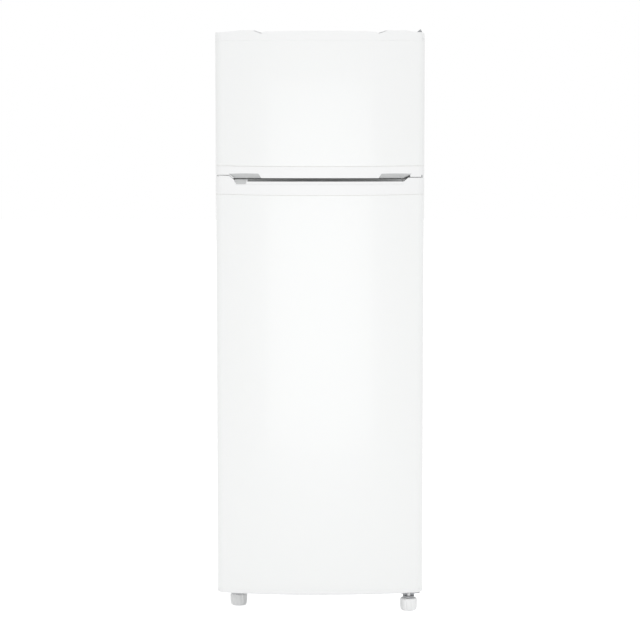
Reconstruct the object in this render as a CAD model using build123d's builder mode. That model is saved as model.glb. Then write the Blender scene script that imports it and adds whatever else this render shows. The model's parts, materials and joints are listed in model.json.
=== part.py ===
"""Top freezer refrigerator: a two-door cabinet with its cooling circuit, doors, shelves and feet.

Millimetres, +Z up, front towards -Y, hinges on the +X side. The origin lies on the floor, under the
middle of the whole refrigerator.
"""

from build123d import *
import math
import os

os.makedirs("parts", exist_ok=True)

# ---------------------------------------------------------------------------------------------------
# Driving dimensions
# ---------------------------------------------------------------------------------------------------

WIDTH = 602.0
DOOR_BOW = 34.0  # how far a door's front bulges beyond its sides
DOOR_SIDE = 46.0  # thickness of a door at its sides
SEAL_GAP = 14.0  # between a door's back and the cabinet's front
CABINET_DEPTH = 530.0
CONDENSER_DEPTH = 30.0
DOOR_CORNER = 26.0  # radius of a door's upright front corners

HALF = WIDTH / 2
DEPTH = DOOR_BOW + DOOR_SIDE + SEAL_GAP + CABINET_DEPTH + CONDENSER_DEPTH
FRONT_Y = -DEPTH / 2
REAR_Y = DEPTH / 2
SIDE_Y = FRONT_Y + DOOR_BOW
DOOR_BACK_Y = SIDE_Y + DOOR_SIDE
CABINET_Y = DOOR_BACK_Y + SEAL_GAP
BACK_Y = CABINET_Y + CABINET_DEPTH
BOW_RADIUS = (HALF**2 + DOOR_BOW**2) / (2 * DOOR_BOW)

UNDERSIDE_Z = 50.0
CABINET_TOP_Z = 1664.0
FRIDGE_DOOR_Z = (54.0, 1269.0)
FREEZER_DOOR_Z = (1273.5, 1683.0)
FRIDGE_BOTTOM_CAP = 12.0
FRIDGE_TOP_CAP = 54.5
FREEZER_BOTTOM_CAP = 24.5
FREEZER_TOP_CAP = 27.0
FRIDGE_SEAM_RISE = 3.4  # how far the seams beside the grip curve up towards the doors' sides
FREEZER_SEAM_RISE = 2.3

SHEET = 1.0  # painted steel sheet
FOLD = 30.0  # flange folded in around the cabinet's front
PLASTIC = 2.0  # liners, bins and trims
FOLD_X = HALF - FOLD
WALL_X = HALF - SHEET

FRIDGE_X = 256.0  # half the width inside the fridge liner
FRIDGE_Z = (98.0, 1240.0)
FRIDGE_BACK_Y = 252.0
FREEZER_X = 241.0
FREEZER_Z = (1310.0, 1604.0)
FREEZER_BACK_Y = 237.0
LINER_STEP = (42.0, 335.0)  # depth and height at which the fridge liner steps over the compressor
STEP_Y = 86.0
STEP_Z = 290.0
MULLION_Z = (1250.0, 1298.0)
BASE_RAIL_Z = (UNDERSIDE_Z, 84.0)
RAIL_FOOT = 33.0  # depth of the base rail's foot under the cabinet
DRAIN = (0.0, 200.0)
DRAIN_RADIUS = 7.5
DRAIN_BORE = 5.0

HINGE_X = 281.0
HINGE_Y = -270.0
PIN_RADIUS = 4.0
RUNNING_FIT = 0.05
BUSH_RADIUS = 7.0
HINGE_PLATE = 3.0
PIN_LENGTH = 12.0

GASKET = 11.6
GASKET_X = 283.0
GASKET_WIDTH = 20.0
DYKE_DEPTH = 42.0  # how far a door's moulded rim reaches behind its back
DYKE_WIDTH = 24.0

SHELF_Z = (404.0, 600.0, 790.0, 980.0)
SHELF_FRONT_Y = -112.0
SHELF_BACK_Y = 240.0
GLASS = 4.0
FREEZER_SHELF_Z = 1455.0

FOOT_RADIUS = 25.0
FOOT_HEIGHT = 36.0
FLUTES = 8
FLUTE = (26.5, 3.5)  # how far from a foot's middle a flute stands, and its radius
RIGHT_FOOT = (260.0, -279.0)
LEFT_FOOT = (-241.0, -213.0)
STUD_RADIUS = 5.0

ROLLER_X = 262.0
ROLLER_Y = 238.0
ROLLER_RADIUS = 20.0
ROLLER_WIDTH = 22.0
AXLE_RADIUS = 4.0


# ---------------------------------------------------------------------------------------------------
# Shared shapes. Each one works in the part that is open around the call.
# ---------------------------------------------------------------------------------------------------


def middle(span):
    """The middle of a (low, high) pair."""
    return (span[0] + span[1]) / 2


def length(span):
    """The length of a (low, high) pair."""
    return span[1] - span[0]


def block(x, y, z, mode=Mode.ADD):
    """A box from its low and high value on each axis."""
    with Locations((middle(x), middle(y), middle(z))):
        Box(length(x), length(y), length(z), mode=mode)


def upright(x, y, z, radius, mode=Mode.ADD):
    """An upright cylinder over the height z."""
    with Locations((x, y, middle(z))):
        Cylinder(radius, length(z), mode=mode)


def crosswise(x, y, z, radius, mode=Mode.ADD):
    """A cylinder along X over the stretch x."""
    with Locations((middle(x), y, z)):
        Cylinder(radius, length(x), rotation=(0, 90, 0), mode=mode)


def fore_and_aft(x, y, z, radius, mode=Mode.ADD):
    """A cylinder along Y over the stretch y."""
    with Locations((x, middle(y), z)):
        Cylinder(radius, length(y), rotation=(90, 0, 0), mode=mode)


def both_sides(x):
    """The spans left and right of the middle plane that lie between two distances from it."""
    return ((-x[1], -x[0]), (x[0], x[1]))


def bow_y(x, inset=0.0):
    """Where a door's front stands at a distance x from the middle, set in by an amount."""
    radius = BOW_RADIUS - inset
    return FRONT_Y + BOW_RADIUS - math.sqrt(radius**2 - x**2)


def door_plan(z, inset=0.0, back=DOOR_BACK_Y):
    """A door seen from above: flat sides, a bowed front and rounded upright corners."""
    half = HALF - inset
    with BuildSketch(Plane.XY.offset(z)) as plan:
        with BuildLine():
            ThreePointArc(
                (-half, bow_y(half, inset)), (0, bow_y(0, inset)), (half, bow_y(half, inset))
            )
            Polyline(
                (half, bow_y(half, inset)), (half, back), (-half, back), (-half, bow_y(half, inset))
            )
        make_face()
        fillet(plan.vertices().group_by(Axis.Y)[0], DOOR_CORNER - inset)
    return plan.sketch


def bow_strip(z, x, inset, back):
    """A strip seen from above, between a line that follows the door's bow and a straight back line."""
    left, right = x
    with BuildSketch(Plane.XY.offset(z)) as strip:
        with BuildLine():
            ThreePointArc(
                (left, bow_y(left, inset)),
                (middle(x), bow_y(middle(x), inset)),
                (right, bow_y(right, inset)),
            )
            Polyline(
                (right, bow_y(right, inset)), (right, back), (left, back), (left, bow_y(left, inset))
            )
        make_face()
    return strip.sketch


def front_view(points, y=FRONT_Y - 10):
    """A closed outline of (x, z) points on an upright plane in front of the doors."""
    with BuildSketch(Plane.XZ.offset(-y)) as outline:
        with BuildLine():
            Polyline(*points, close=True)
        make_face()
    return outline.sketch


def beyond_seam(z, rise, reach):
    """The space from a seam that curves up towards its ends to a level beyond it, seen from the front."""
    end = HALF + 1
    with BuildSketch(Plane.XZ.offset(10 - FRONT_Y)) as space:
        with BuildLine():
            ThreePointArc((-end, z + rise), (0, z), (end, z + rise))
            Polyline((end, z + rise), (end, z + reach), (-end, z + reach), (-end, z + rise))
        make_face()
    return space.sketch


def side_view(points, x):
    """A closed outline of (y, z) points on the plane at x."""
    with BuildSketch(Plane.YZ.offset(x)) as outline:
        with BuildLine():
            Polyline(*points, close=True)
        make_face()
    return outline.sketch


def ring(x, z, width, plane_y, corner):
    """A rectangular frame seen from the front, centred on the middle plane, x and z its outer size."""
    with BuildSketch(Plane.XZ.offset(-plane_y)) as frame:
        with Locations((0, middle(z))):
            RectangleRounded(2 * x, length(z), corner)
            RectangleRounded(
                2 * (x - width), length(z) - 2 * width, max(corner - width, 2.0), mode=Mode.SUBTRACT
            )
    return frame.sketch


def write(name, piece):
    """Labels a finished piece and writes it as the STEP file of its name."""
    piece.part.label = name
    export_step(piece.part, f"parts/{name}.step")


# ---------------------------------------------------------------------------------------------------
# Cabinet: outer panels
# ---------------------------------------------------------------------------------------------------

with BuildPart() as side_panels:
    for side in (-1, 1):
        block(sorted((side * WALL_X, side * HALF)), (CABINET_Y, BACK_Y), (UNDERSIDE_Z, CABINET_TOP_Z))
        block(
            sorted((side * FOLD_X, side * WALL_X)),
            (CABINET_Y, CABINET_Y + SHEET),
            (BASE_RAIL_Z[1], CABINET_TOP_Z - FOLD),
        )
write("side_panels", side_panels)

with BuildPart() as top_panel:
    block((-WALL_X, WALL_X), (CABINET_Y, BACK_Y), (CABINET_TOP_Z - SHEET, CABINET_TOP_Z))
    block(
        (-WALL_X, WALL_X), (CABINET_Y, CABINET_Y + SHEET), (CABINET_TOP_Z - FOLD, CABINET_TOP_Z - SHEET)
    )
write("top_panel", top_panel)

POCKET_X = 150.0  # half the width of the pressed pocket high in the back panel
POCKET_Z = (1510.0, 1570.0)
POCKET_DEPTH = 3 * SHEET
with BuildPart() as back_panel:
    block((-WALL_X, WALL_X), (BACK_Y - SHEET, BACK_Y), (STEP_Z + SHEET, CABINET_TOP_Z - SHEET))
    block((-POCKET_X, POCKET_X), (BACK_Y - POCKET_DEPTH, BACK_Y), POCKET_Z)
    block(
        (SHEET - POCKET_X, POCKET_X - SHEET),
        (BACK_Y - POCKET_DEPTH + SHEET, BACK_Y),
        (POCKET_Z[0] + SHEET, POCKET_Z[1] - SHEET),
        Mode.SUBTRACT,
    )
write("back_panel", back_panel)

with BuildPart() as base_panel:
    extrude(
        side_view(
            (
                (CABINET_Y + RAIL_FOOT, UNDERSIDE_Z),
                (STEP_Y + SHEET, UNDERSIDE_Z),
                (STEP_Y + SHEET, STEP_Z),
                (BACK_Y, STEP_Z),
                (BACK_Y, STEP_Z + SHEET),
                (STEP_Y, STEP_Z + SHEET),
                (STEP_Y, UNDERSIDE_Z + SHEET),
                (CABINET_Y + RAIL_FOOT, UNDERSIDE_Z + SHEET),
            ),
            -WALL_X,
        ),
        amount=2 * WALL_X,
    )
    upright(*DRAIN, (STEP_Z, STEP_Z + SHEET), DRAIN_RADIUS + 0.5, Mode.SUBTRACT)
write("base_panel", base_panel)

with BuildPart() as cross_rails:
    block((-WALL_X, WALL_X), (CABINET_Y, CABINET_Y + SHEET), BASE_RAIL_Z)
    block(
        (-WALL_X, WALL_X),
        (CABINET_Y + SHEET, CABINET_Y + RAIL_FOOT),
        (UNDERSIDE_Z, UNDERSIDE_Z + SHEET),
    )
    block((-FOLD_X, FOLD_X), (CABINET_Y, CABINET_Y + PLASTIC), MULLION_Z)
write("cross_rails", cross_rails)

# ---------------------------------------------------------------------------------------------------
# Cabinet: liners and the foam around them
# ---------------------------------------------------------------------------------------------------

LINER_CORNER = 8.0
LEDGE = 8.0  # how far a shelf's ledge stands out from the liner's wall
LEDGE_HEIGHT = 10.0
FREEZER_LEDGE_Y = (-145.0, 190.0)


def rounded_behind(outline, half, corner):
    """A solid of a side view's outline over twice a half width, rounded on all edges behind its front."""
    with BuildPart() as space:
        extrude(outline, amount=2 * half)
        fillet(space.edges() - space.faces().sort_by(Axis.Y)[0].edges(), corner)
    return space.part


def fridge_space(grow):
    """The fridge liner's inside, stepped over the compressor, grown outwards by an amount."""
    half = FRIDGE_X + grow
    back = FRIDGE_BACK_Y + grow
    step_y = LINER_STEP[0] + grow
    step_z = LINER_STEP[1] - grow
    low, high = FRIDGE_Z[0] - grow, FRIDGE_Z[1] + grow
    outline = side_view(
        (
            (CABINET_Y, low),
            (step_y, low),
            (step_y, step_z),
            (back, step_z),
            (back, high),
            (CABINET_Y, high),
        ),
        -half,
    )
    return rounded_behind(outline, half, LINER_CORNER + grow)


def freezer_space(grow):
    """The freezer liner's inside, grown outwards by an amount."""
    half = FREEZER_X + grow
    back = FREEZER_BACK_Y + grow
    low, high = FREEZER_Z[0] - grow, FREEZER_Z[1] + grow
    outline = side_view(((CABINET_Y, low), (back, low), (back, high), (CABINET_Y, high)), -half)
    return rounded_behind(outline, half, LINER_CORNER + grow)


fridge_shell = fridge_space(PLASTIC)
fridge_room = fridge_space(0)
freezer_shell = freezer_space(PLASTIC)
freezer_room = freezer_space(0)

with BuildPart() as fridge_liner:
    add(fridge_shell)
    for x in both_sides((FRIDGE_X, FOLD_X)):
        block(x, (CABINET_Y, CABINET_Y + PLASTIC), (BASE_RAIL_Z[1], MULLION_Z[0]))
    for z in ((BASE_RAIL_Z[1], FRIDGE_Z[0]), (FRIDGE_Z[1], MULLION_Z[0])):
        block((-FOLD_X, FOLD_X), (CABINET_Y, CABINET_Y + PLASTIC), z)
    add(fridge_room, mode=Mode.SUBTRACT)
    for x in both_sides((FRIDGE_X - LEDGE, FRIDGE_X)):
        for z in SHELF_Z:
            block(x, (SHELF_FRONT_Y, SHELF_BACK_Y - 10), (z - LEDGE_HEIGHT, z))
    upright(*DRAIN, (LINER_STEP[1] - PLASTIC, LINER_STEP[1]), DRAIN_BORE, Mode.SUBTRACT)
write("fridge_liner", fridge_liner)

with BuildPart() as freezer_liner:
    add(freezer_shell)
    block((-FOLD_X, FOLD_X), (CABINET_Y, CABINET_Y + PLASTIC), (MULLION_Z[1], CABINET_TOP_Z - FOLD))
    add(freezer_room, mode=Mode.SUBTRACT)
    for x in both_sides((FREEZER_X - LEDGE, FREEZER_X)):
        block(x, FREEZER_LEDGE_Y, (FREEZER_SHELF_Z - LEDGE_HEIGHT, FREEZER_SHELF_Z))
write("freezer_liner", freezer_liner)

with BuildPart() as cabinet_foam:
    foam_front_y = CABINET_Y + PLASTIC
    foam_bottom_z = UNDERSIDE_Z + SHEET
    foam_top_z = CABINET_TOP_Z - SHEET
    block((-WALL_X, WALL_X), (foam_front_y, BACK_Y - POCKET_DEPTH), (foam_bottom_z, foam_top_z))
    block((-WALL_X, WALL_X), (STEP_Y, BACK_Y), (UNDERSIDE_Z, STEP_Z + SHEET), Mode.SUBTRACT)
    add([fridge_shell, freezer_shell], mode=Mode.SUBTRACT)
    upright(*DRAIN, (STEP_Z, LINER_STEP[1]), DRAIN_RADIUS + 0.5, Mode.SUBTRACT)
write("cabinet_foam", cabinet_foam)

# ---------------------------------------------------------------------------------------------------
# Hinges
# ---------------------------------------------------------------------------------------------------

SCREW_HOLE = 2.6
TOP_SCREWS = ((245.0, -205.0), (281.0, -205.0), (262.0, -180.0))
LUG_X = (278.0, 289.0)  # the lug folded up from the hinge's plate through the cover
LUG_Y = (-268.0, -265.0)
LUG_TOP_Z = 1691.0
LUG_SHOULDER = (294.0, 1681.5)
LUG_FIT = 0.6

with BuildPart() as top_hinge:
    plate_z = (CABINET_TOP_Z, CABINET_TOP_Z + HINGE_PLATE)
    block((232, 289), (-225, -170), plate_z)
    upright(HINGE_X, HINGE_Y, plate_z, 12)
    with BuildSketch(Plane.XY.offset(CABINET_TOP_Z)):
        with BuildLine():
            Polyline((269, HINGE_Y), (289, HINGE_Y), (289, -224), (250, -224), close=True)
        make_face()
    extrude(amount=HINGE_PLATE)
    upright(HINGE_X, HINGE_Y, (CABINET_TOP_Z - PIN_LENGTH, CABINET_TOP_Z), PIN_RADIUS)
    for x, y in TOP_SCREWS:
        upright(x, y, plate_z, SCREW_HOLE, Mode.SUBTRACT)
    lug = front_view(
        ((LUG_X[0], CABINET_TOP_Z), (LUG_X[0], 1682), (289, LUG_TOP_Z), LUG_SHOULDER, (289, CABINET_TOP_Z)),
        LUG_Y[1],
    )
    extrude(lug, amount=length(LUG_Y))
write("top_hinge", top_hinge)

BOSS_RADIUS = 19.5  # the cover's round front over the pin, inside the swing of the freezer door's rim
COVER_X = (228.0, 291.0)
COVER_Y = (-246.0, -162.0)
COVER_TOP_Z = 1680.4
with BuildPart() as top_hinge_cover:
    with BuildSketch(Plane.XY.offset(CABINET_TOP_Z)):
        with Locations((middle(COVER_X), middle(COVER_Y))):
            Rectangle(length(COVER_X), length(COVER_Y))
        with Locations((HINGE_X, HINGE_Y)):
            Circle(BOSS_RADIUS)
        with BuildLine():
            Polyline((265, HINGE_Y), (291, HINGE_Y), (291, -240), (228, -240), (246, -262), close=True)
        make_face()
    extrude(amount=COVER_TOP_Z - CABINET_TOP_Z)
    chamfer(top_hinge_cover.faces().sort_by(Axis.Z)[-1].edges(), 3)
    offset(amount=-PLASTIC, openings=top_hinge_cover.faces().sort_by(Axis.Z)[0])
    block(
        (LUG_X[0] - LUG_FIT, LUG_SHOULDER[0] + LUG_FIT),
        (LUG_Y[0] - LUG_FIT, LUG_Y[1] + LUG_FIT),
        (COVER_TOP_Z - 3 * PLASTIC, COVER_TOP_Z + 1),
        Mode.SUBTRACT,
    )
write("top_hinge_cover", top_hinge_cover)

MID_GAP_Z = (FRIDGE_DOOR_Z[1], FREEZER_DOOR_Z[0])
MID_PLATE_Z = (middle(MID_GAP_Z) - HINGE_PLATE / 2, middle(MID_GAP_Z) + HINGE_PLATE / 2)
MID_FLANGE_Y = (CABINET_Y - 2.5, CABINET_Y)
MID_SCREWS = ((244.0, 1275.0), (255.0, 1275.0))
with BuildPart() as middle_hinge:
    block((238, 296), MID_FLANGE_Y, (1264, 1286))
    block((262, 292), (HINGE_Y, MID_FLANGE_Y[0]), MID_PLATE_Z)
    upright(HINGE_X, HINGE_Y, MID_PLATE_Z, 11)
    pin_z = (MID_PLATE_Z[0] - PIN_LENGTH, MID_PLATE_Z[1] + PIN_LENGTH)
    upright(HINGE_X, HINGE_Y, pin_z, PIN_RADIUS)
    for x, z in MID_SCREWS:
        fore_and_aft(x, MID_FLANGE_Y, z, SCREW_HOLE, Mode.SUBTRACT)
write("middle_hinge", middle_hinge)

FOOT_PLATE_Z = (UNDERSIDE_Z - HINGE_PLATE, UNDERSIDE_Z)
NUT_Z = (FOOT_HEIGHT + 1.0, FOOT_PLATE_Z[0])
NUT_RADIUS = 16.0
TONGUE_Z = (38.0, 42.0)
TONGUE_RADIUS = 16.5
RISER_Y = (-276.0, -262.0)


BOTTOM_SCREWS = ((244.0, -200.0), (284.0, -200.0))
with BuildPart() as bottom_hinge:
    block((230, 294), (-216, -184), FOOT_PLATE_Z)
    with BuildSketch(Plane.XY.offset(FOOT_PLATE_Z[0])):
        with BuildLine():
            Polyline((230, -215), (230, -268), (242, -282), (286, -276), (294, -268), (294, -215))
            Line((294, -215), (230, -215))
        make_face()
    extrude(amount=HINGE_PLATE)
    block((232, 292), (-216, -214), (38, FOOT_PLATE_Z[0]))
    upright(*RIGHT_FOOT, TONGUE_Z, TONGUE_RADIUS)
    sides = (RIGHT_FOOT[0] - TONGUE_RADIUS, RIGHT_FOOT[0] + TONGUE_RADIUS)
    block(sides, (RIGHT_FOOT[1], RISER_Y[1]), TONGUE_Z)
    block(sides, RISER_Y, (TONGUE_Z[1], FOOT_PLATE_Z[0]))
    upright(HINGE_X, HINGE_Y, (UNDERSIDE_Z, UNDERSIDE_Z + PIN_LENGTH), PIN_RADIUS)
    upright(*RIGHT_FOOT, (TONGUE_Z[0], FOOT_PLATE_Z[1]), STUD_RADIUS + RUNNING_FIT, Mode.SUBTRACT)
    for x, y in BOTTOM_SCREWS:
        upright(x, y, FOOT_PLATE_Z, SCREW_HOLE, Mode.SUBTRACT)
write("bottom_hinge", bottom_hinge)

LEFT_SCREWS = ((-256.0, -192.0), (-222.0, -192.0))
with BuildPart() as left_foot_bracket:
    with BuildSketch(Plane.XY.offset(FOOT_PLATE_Z[0])):
        with BuildLine():
            Polyline((-267, -184), (-264, -262), (-257, -282), (-226, -282), (-213, -240), (-213, -184))
            Line((-213, -184), (-267, -184))
        make_face()
    extrude(amount=HINGE_PLATE)
    block((-263, -215), (-187, -185), (38, FOOT_PLATE_Z[0]))
    with BuildSketch(Plane.XY.offset(NUT_Z[0])):
        with Locations(LEFT_FOOT):
            RegularPolygon(NUT_RADIUS, 6)
    extrude(amount=length(NUT_Z))
    upright(*LEFT_FOOT, (NUT_Z[0], FOOT_PLATE_Z[1]), STUD_RADIUS + RUNNING_FIT, Mode.SUBTRACT)
    for x, y in LEFT_SCREWS:
        upright(x, y, FOOT_PLATE_Z, SCREW_HOLE, Mode.SUBTRACT)
write("left_foot_bracket", left_foot_bracket)

# ---------------------------------------------------------------------------------------------------
# Feet and rollers
# ---------------------------------------------------------------------------------------------------

for (foot_x, foot_y), name in ((LEFT_FOOT, "left_foot"), (RIGHT_FOOT, "right_foot")):
    with BuildPart() as foot:
        with BuildSketch(Plane.XY) as knob:
            with Locations((foot_x, foot_y)):
                Circle(FOOT_RADIUS)
                with PolarLocations(FLUTE[0], FLUTES, start_angle=180 / FLUTES):
                    Circle(FLUTE[1], mode=Mode.SUBTRACT)
            fillet(knob.vertices(), 1)
        extrude(amount=FOOT_HEIGHT)
        with BuildSketch(Plane.XZ.offset(-foot_y)):
            with BuildLine():
                Polyline(
                    (foot_x, 0),
                    (foot_x + FOOT_RADIUS - 4, 0),
                    (foot_x + FOOT_RADIUS - 2, 3),
                    (foot_x + FOOT_RADIUS, 13),
                    (foot_x + FOOT_RADIUS, FOOT_HEIGHT - 5),
                    (foot_x + FOOT_RADIUS - 1.5, FOOT_HEIGHT - 1.5),
                    (foot_x + FOOT_RADIUS - 5, FOOT_HEIGHT),
                    (foot_x, FOOT_HEIGHT),
                    close=True,
                )
            make_face()
        revolve(axis=Axis((foot_x, foot_y, 0), (0, 0, 1)), mode=Mode.INTERSECT)
        upright(foot_x, foot_y, (FOOT_HEIGHT, UNDERSIDE_Z - 0.4), STUD_RADIUS)
    write(name, foot)

PLATE_Z = (51.0, 54.0)
with BuildPart() as roller_brackets:
    for side in (-1, 1):
        cheek_x = (ROLLER_WIDTH / 2 + 1, ROLLER_WIDTH / 2 + 3)
        for x in both_sides(cheek_x):
            span = (side * ROLLER_X + x[0], side * ROLLER_X + x[1])
            block(span, (ROLLER_Y - 16, ROLLER_Y + 16), (12, PLATE_Z[0]))
        reach = ROLLER_WIDTH / 2 + 3
        block(
            (side * ROLLER_X - reach, side * ROLLER_X + reach),
            (ROLLER_Y - 22, ROLLER_Y + 22),
            (PLATE_Z[0] - 2, PLATE_Z[0]),
        )
        crosswise(
            (side * ROLLER_X - reach, side * ROLLER_X + reach), ROLLER_Y, ROLLER_RADIUS, AXLE_RADIUS
        )
write("roller_brackets", roller_brackets)

for side, name in ((-1, "roller_left"), (1, "roller_right")):
    with BuildPart() as roller:
        span = (side * ROLLER_X - ROLLER_WIDTH / 2, side * ROLLER_X + ROLLER_WIDTH / 2)
        crosswise(span, ROLLER_Y, ROLLER_RADIUS, ROLLER_RADIUS)
        chamfer(roller.edges().filter_by(GeomType.CIRCLE), 1.5)
        crosswise(span, ROLLER_Y, ROLLER_RADIUS, AXLE_RADIUS + RUNNING_FIT, Mode.SUBTRACT)
    write(name, roller)

# ---------------------------------------------------------------------------------------------------
# Cooling circuit
# ---------------------------------------------------------------------------------------------------

TUBE_RADIUS = 2.5
WIRE_RADIUS = 0.8
CONDENSER_Y = REAR_Y - 2 * WIRE_RADIUS - TUBE_RADIUS - 0.02
CONDENSER_X = 235.0
CONDENSER_Z = (420.0, 1420.0)
CONDENSER_RUNS = 20
WIRES = 39

run_step = length(CONDENSER_Z) / CONDENSER_RUNS
wires_x = CONDENSER_X - 24
wire_step = 2 * wires_x / (WIRES - 1)
with BuildPart() as condenser:
    bends = []
    for run in range(CONDENSER_RUNS + 1):
        z = CONDENSER_Z[0] + run * run_step
        ends = [(-CONDENSER_X, CONDENSER_Y, z), (CONDENSER_X, CONDENSER_Y, z)]
        bends += ends if run % 2 == 0 else ends[::-1]
    with BuildLine() as coil:
        FilletPolyline(*bends, radius=run_step / 2 - 0.5)
    with BuildSketch(Plane(origin=coil.line @ 0, z_dir=coil.line % 0)):
        Circle(TUBE_RADIUS)
    sweep(path=coil.line)
    wire_y = TUBE_RADIUS + WIRE_RADIUS + 0.01
    for y in (CONDENSER_Y - wire_y, CONDENSER_Y + wire_y):
        for wire in range(WIRES):
            x = wire * wire_step - wires_x
            upright(x, y, (CONDENSER_Z[0] - 12, CONDENSER_Z[1] + 12), WIRE_RADIUS)
write("condenser", condenser)

with BuildPart() as condenser_clips:
    for x in (-wires_x + 1.5 * wire_step, wires_x - 1.5 * wire_step):
        for run in (1, 7, 13, 19):
            z = CONDENSER_Z[0] + run * run_step
            block((x - 4, x + 4), (BACK_Y, CONDENSER_Y + 2), (z - 8, z + 8))
            crosswise((x - 5, x + 5), CONDENSER_Y, z, TUBE_RADIUS + 0.02, Mode.SUBTRACT)
write("condenser_clips", condenser_clips)

COMPRESSOR = (-60.0, 222.0)
SHELL_Z = (66.0, 232.0)
BUSH_SPOTS = [(COMPRESSOR[0] + dx, COMPRESSOR[1] + dy) for dx in (-98, 98) for dy in (-46, 46)]

with BuildPart() as compressor_plate:
    block((-WALL_X, WALL_X), (150, 290), PLATE_Z)
    for y in ((150, 151), (289, 290)):
        block((-WALL_X, WALL_X), y, (PLATE_Z[1], PLATE_Z[1] + 12))
    for x, y in BUSH_SPOTS:
        upright(x, y, PLATE_Z, 5, Mode.SUBTRACT)
write("compressor_plate", compressor_plate)

with BuildPart() as compressor:
    with BuildSketch(Plane.XY.offset(SHELL_Z[0] + 4)):
        with Locations(COMPRESSOR):
            Ellipse(84, 66)
    extrude(amount=length(SHELL_Z) - 4)
    fillet(compressor.faces().sort_by(Axis.Z)[-1].edges(), 42)
    fillet(compressor.faces().sort_by(Axis.Z)[0].edges(), 14)
    with BuildSketch(Plane.XY.offset(SHELL_Z[0] + 92)):
        with Locations(COMPRESSOR):
            Ellipse(88, 70)
    extrude(amount=5)
    with BuildSketch(Plane.XY.offset(SHELL_Z[0])):
        with Locations(COMPRESSOR):
            RectangleRounded(220, 116, 12)
        with Locations(*BUSH_SPOTS):
            Circle(6, mode=Mode.SUBTRACT)
    extrude(amount=5)
write("compressor", compressor)

with BuildPart() as compressor_bushes:
    for x, y in BUSH_SPOTS:
        upright(x, y, (PLATE_Z[1], SHELL_Z[0]), 11)
        upright(x, y, (SHELL_Z[0], SHELL_Z[0] + 5), 5.9)
        upright(x, y, (SHELL_Z[0] + 5, SHELL_Z[0] + 8), 9)
write("compressor_bushes", compressor_bushes)

with BuildPart() as terminal_box:
    block((COMPRESSOR[0] + 84, COMPRESSOR[0] + 118), (COMPRESSOR[1] - 38, COMPRESSOR[1] + 38), (88, 152))
    fillet(terminal_box.edges().filter_by(Axis.Z), 6)
    fillet(terminal_box.faces().sort_by(Axis.Z)[-1].edges(), 3)
write("terminal_box", terminal_box)

PIPE_RADIUS = 3.2
with BuildPart() as refrigerant_pipes:
    with BuildLine() as discharge:
        FilletPolyline(
            (COMPRESSOR[0] - 89, COMPRESSOR[1] + 10, 120),
            (COMPRESSOR[0] - 130, COMPRESSOR[1] + 10, 120),
            (COMPRESSOR[0] - 130, CONDENSER_Y - 40, 120),
            (COMPRESSOR[0] - 170, CONDENSER_Y - 4, 180),
            (-CONDENSER_X - 12, CONDENSER_Y - 8, 380),
            (-CONDENSER_X - 12, CONDENSER_Y, 420),
            radius=12,
        )
    with BuildSketch(Plane(origin=discharge.line @ 0, z_dir=discharge.line % 0)):
        Circle(PIPE_RADIUS)
    sweep(path=discharge.line)
    with BuildLine() as suction:
        FilletPolyline(
            (COMPRESSOR[0] + 40, COMPRESSOR[1] + 71, 110),
            (COMPRESSOR[0] + 40, COMPRESSOR[1] + 88, 110),
            (COMPRESSOR[0] + 190, COMPRESSOR[1] + 88, 140),
            (COMPRESSOR[0] + 220, COMPRESSOR[1] + 66, 200),
            (COMPRESSOR[0] + 220, COMPRESSOR[1] + 66, STEP_Z),
            radius=14,
        )
    with BuildSketch(Plane(origin=suction.line @ 0, z_dir=suction.line % 0)):
        Circle(PIPE_RADIUS)
    sweep(path=suction.line)
    DRIER = (200.0, CONDENSER_Y - 14)
    upright(*DRIER, (150, 240), 9)
    fillet(refrigerant_pipes.edges().filter_by(GeomType.CIRCLE).filter_by(lambda e: e.radius == 9), 4)
    upright(*DRIER, (240, 405), 2)
    upright(*DRIER, (120, 150), 1.2)
write("refrigerant_pipes", refrigerant_pipes)

TRAY_X = (-130.0, 20.0)
TRAY_Y = (165.0, 285.0)
TRAY_Z = (236.0, 266.0)
with BuildPart() as drip_tray:
    block(TRAY_X, TRAY_Y, TRAY_Z)
    fillet(drip_tray.edges().filter_by(Axis.Z), 14)
    offset(amount=-PLASTIC, openings=drip_tray.faces().sort_by(Axis.Z)[-1])
write("drip_tray", drip_tray)

with BuildPart() as drain_tube:
    span = (TRAY_Z[1] - 10, LINER_STEP[1] - PLASTIC)
    upright(*DRAIN, span, DRAIN_RADIUS)
    upright(*DRAIN, span, DRAIN_BORE, Mode.SUBTRACT)
write("drain_tube", drain_tube)

with BuildPart() as cord_gland:
    fore_and_aft(-200, (BACK_Y, BACK_Y + 3), 330, 13)
    fore_and_aft(-200, (BACK_Y + 3, BACK_Y + 14), 330, 8)
    fillet(cord_gland.faces().sort_by(Axis.Y)[-1].edges(), 2)
    fore_and_aft(-200, (BACK_Y + 2, BACK_Y + 15), 330, 3.6, Mode.SUBTRACT)
write("cord_gland", cord_gland)

with BuildPart() as cold_plate:
    block((-205, 205), (244, 246), (870, 1185))
    for z in (900, 940, 980, 1020, 1060, 1100, 1140):
        block((-185, 185), (242, 244), (z, z + 9))
    fillet(cold_plate.edges().filter_by(Axis.Y), 3)
    block((-215, 215), (228, 250), (846, 848))
    for y in ((228, 230), (250, 252)):
        block((-215, 215), y, (846, 862))
write("cold_plate", cold_plate)

with BuildPart() as freezer_evaporator:
    block((-215, 215), (231, 233), (1325, 1590))
    for z in range(1345, 1580, 32):
        block((-195, 195), (229, 231), (z, z + 9))
    fillet(freezer_evaporator.edges().filter_by(Axis.Y), 3)
write("freezer_evaporator", freezer_evaporator)

# ---------------------------------------------------------------------------------------------------
# Shelves and the crisper drawer
# ---------------------------------------------------------------------------------------------------

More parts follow.
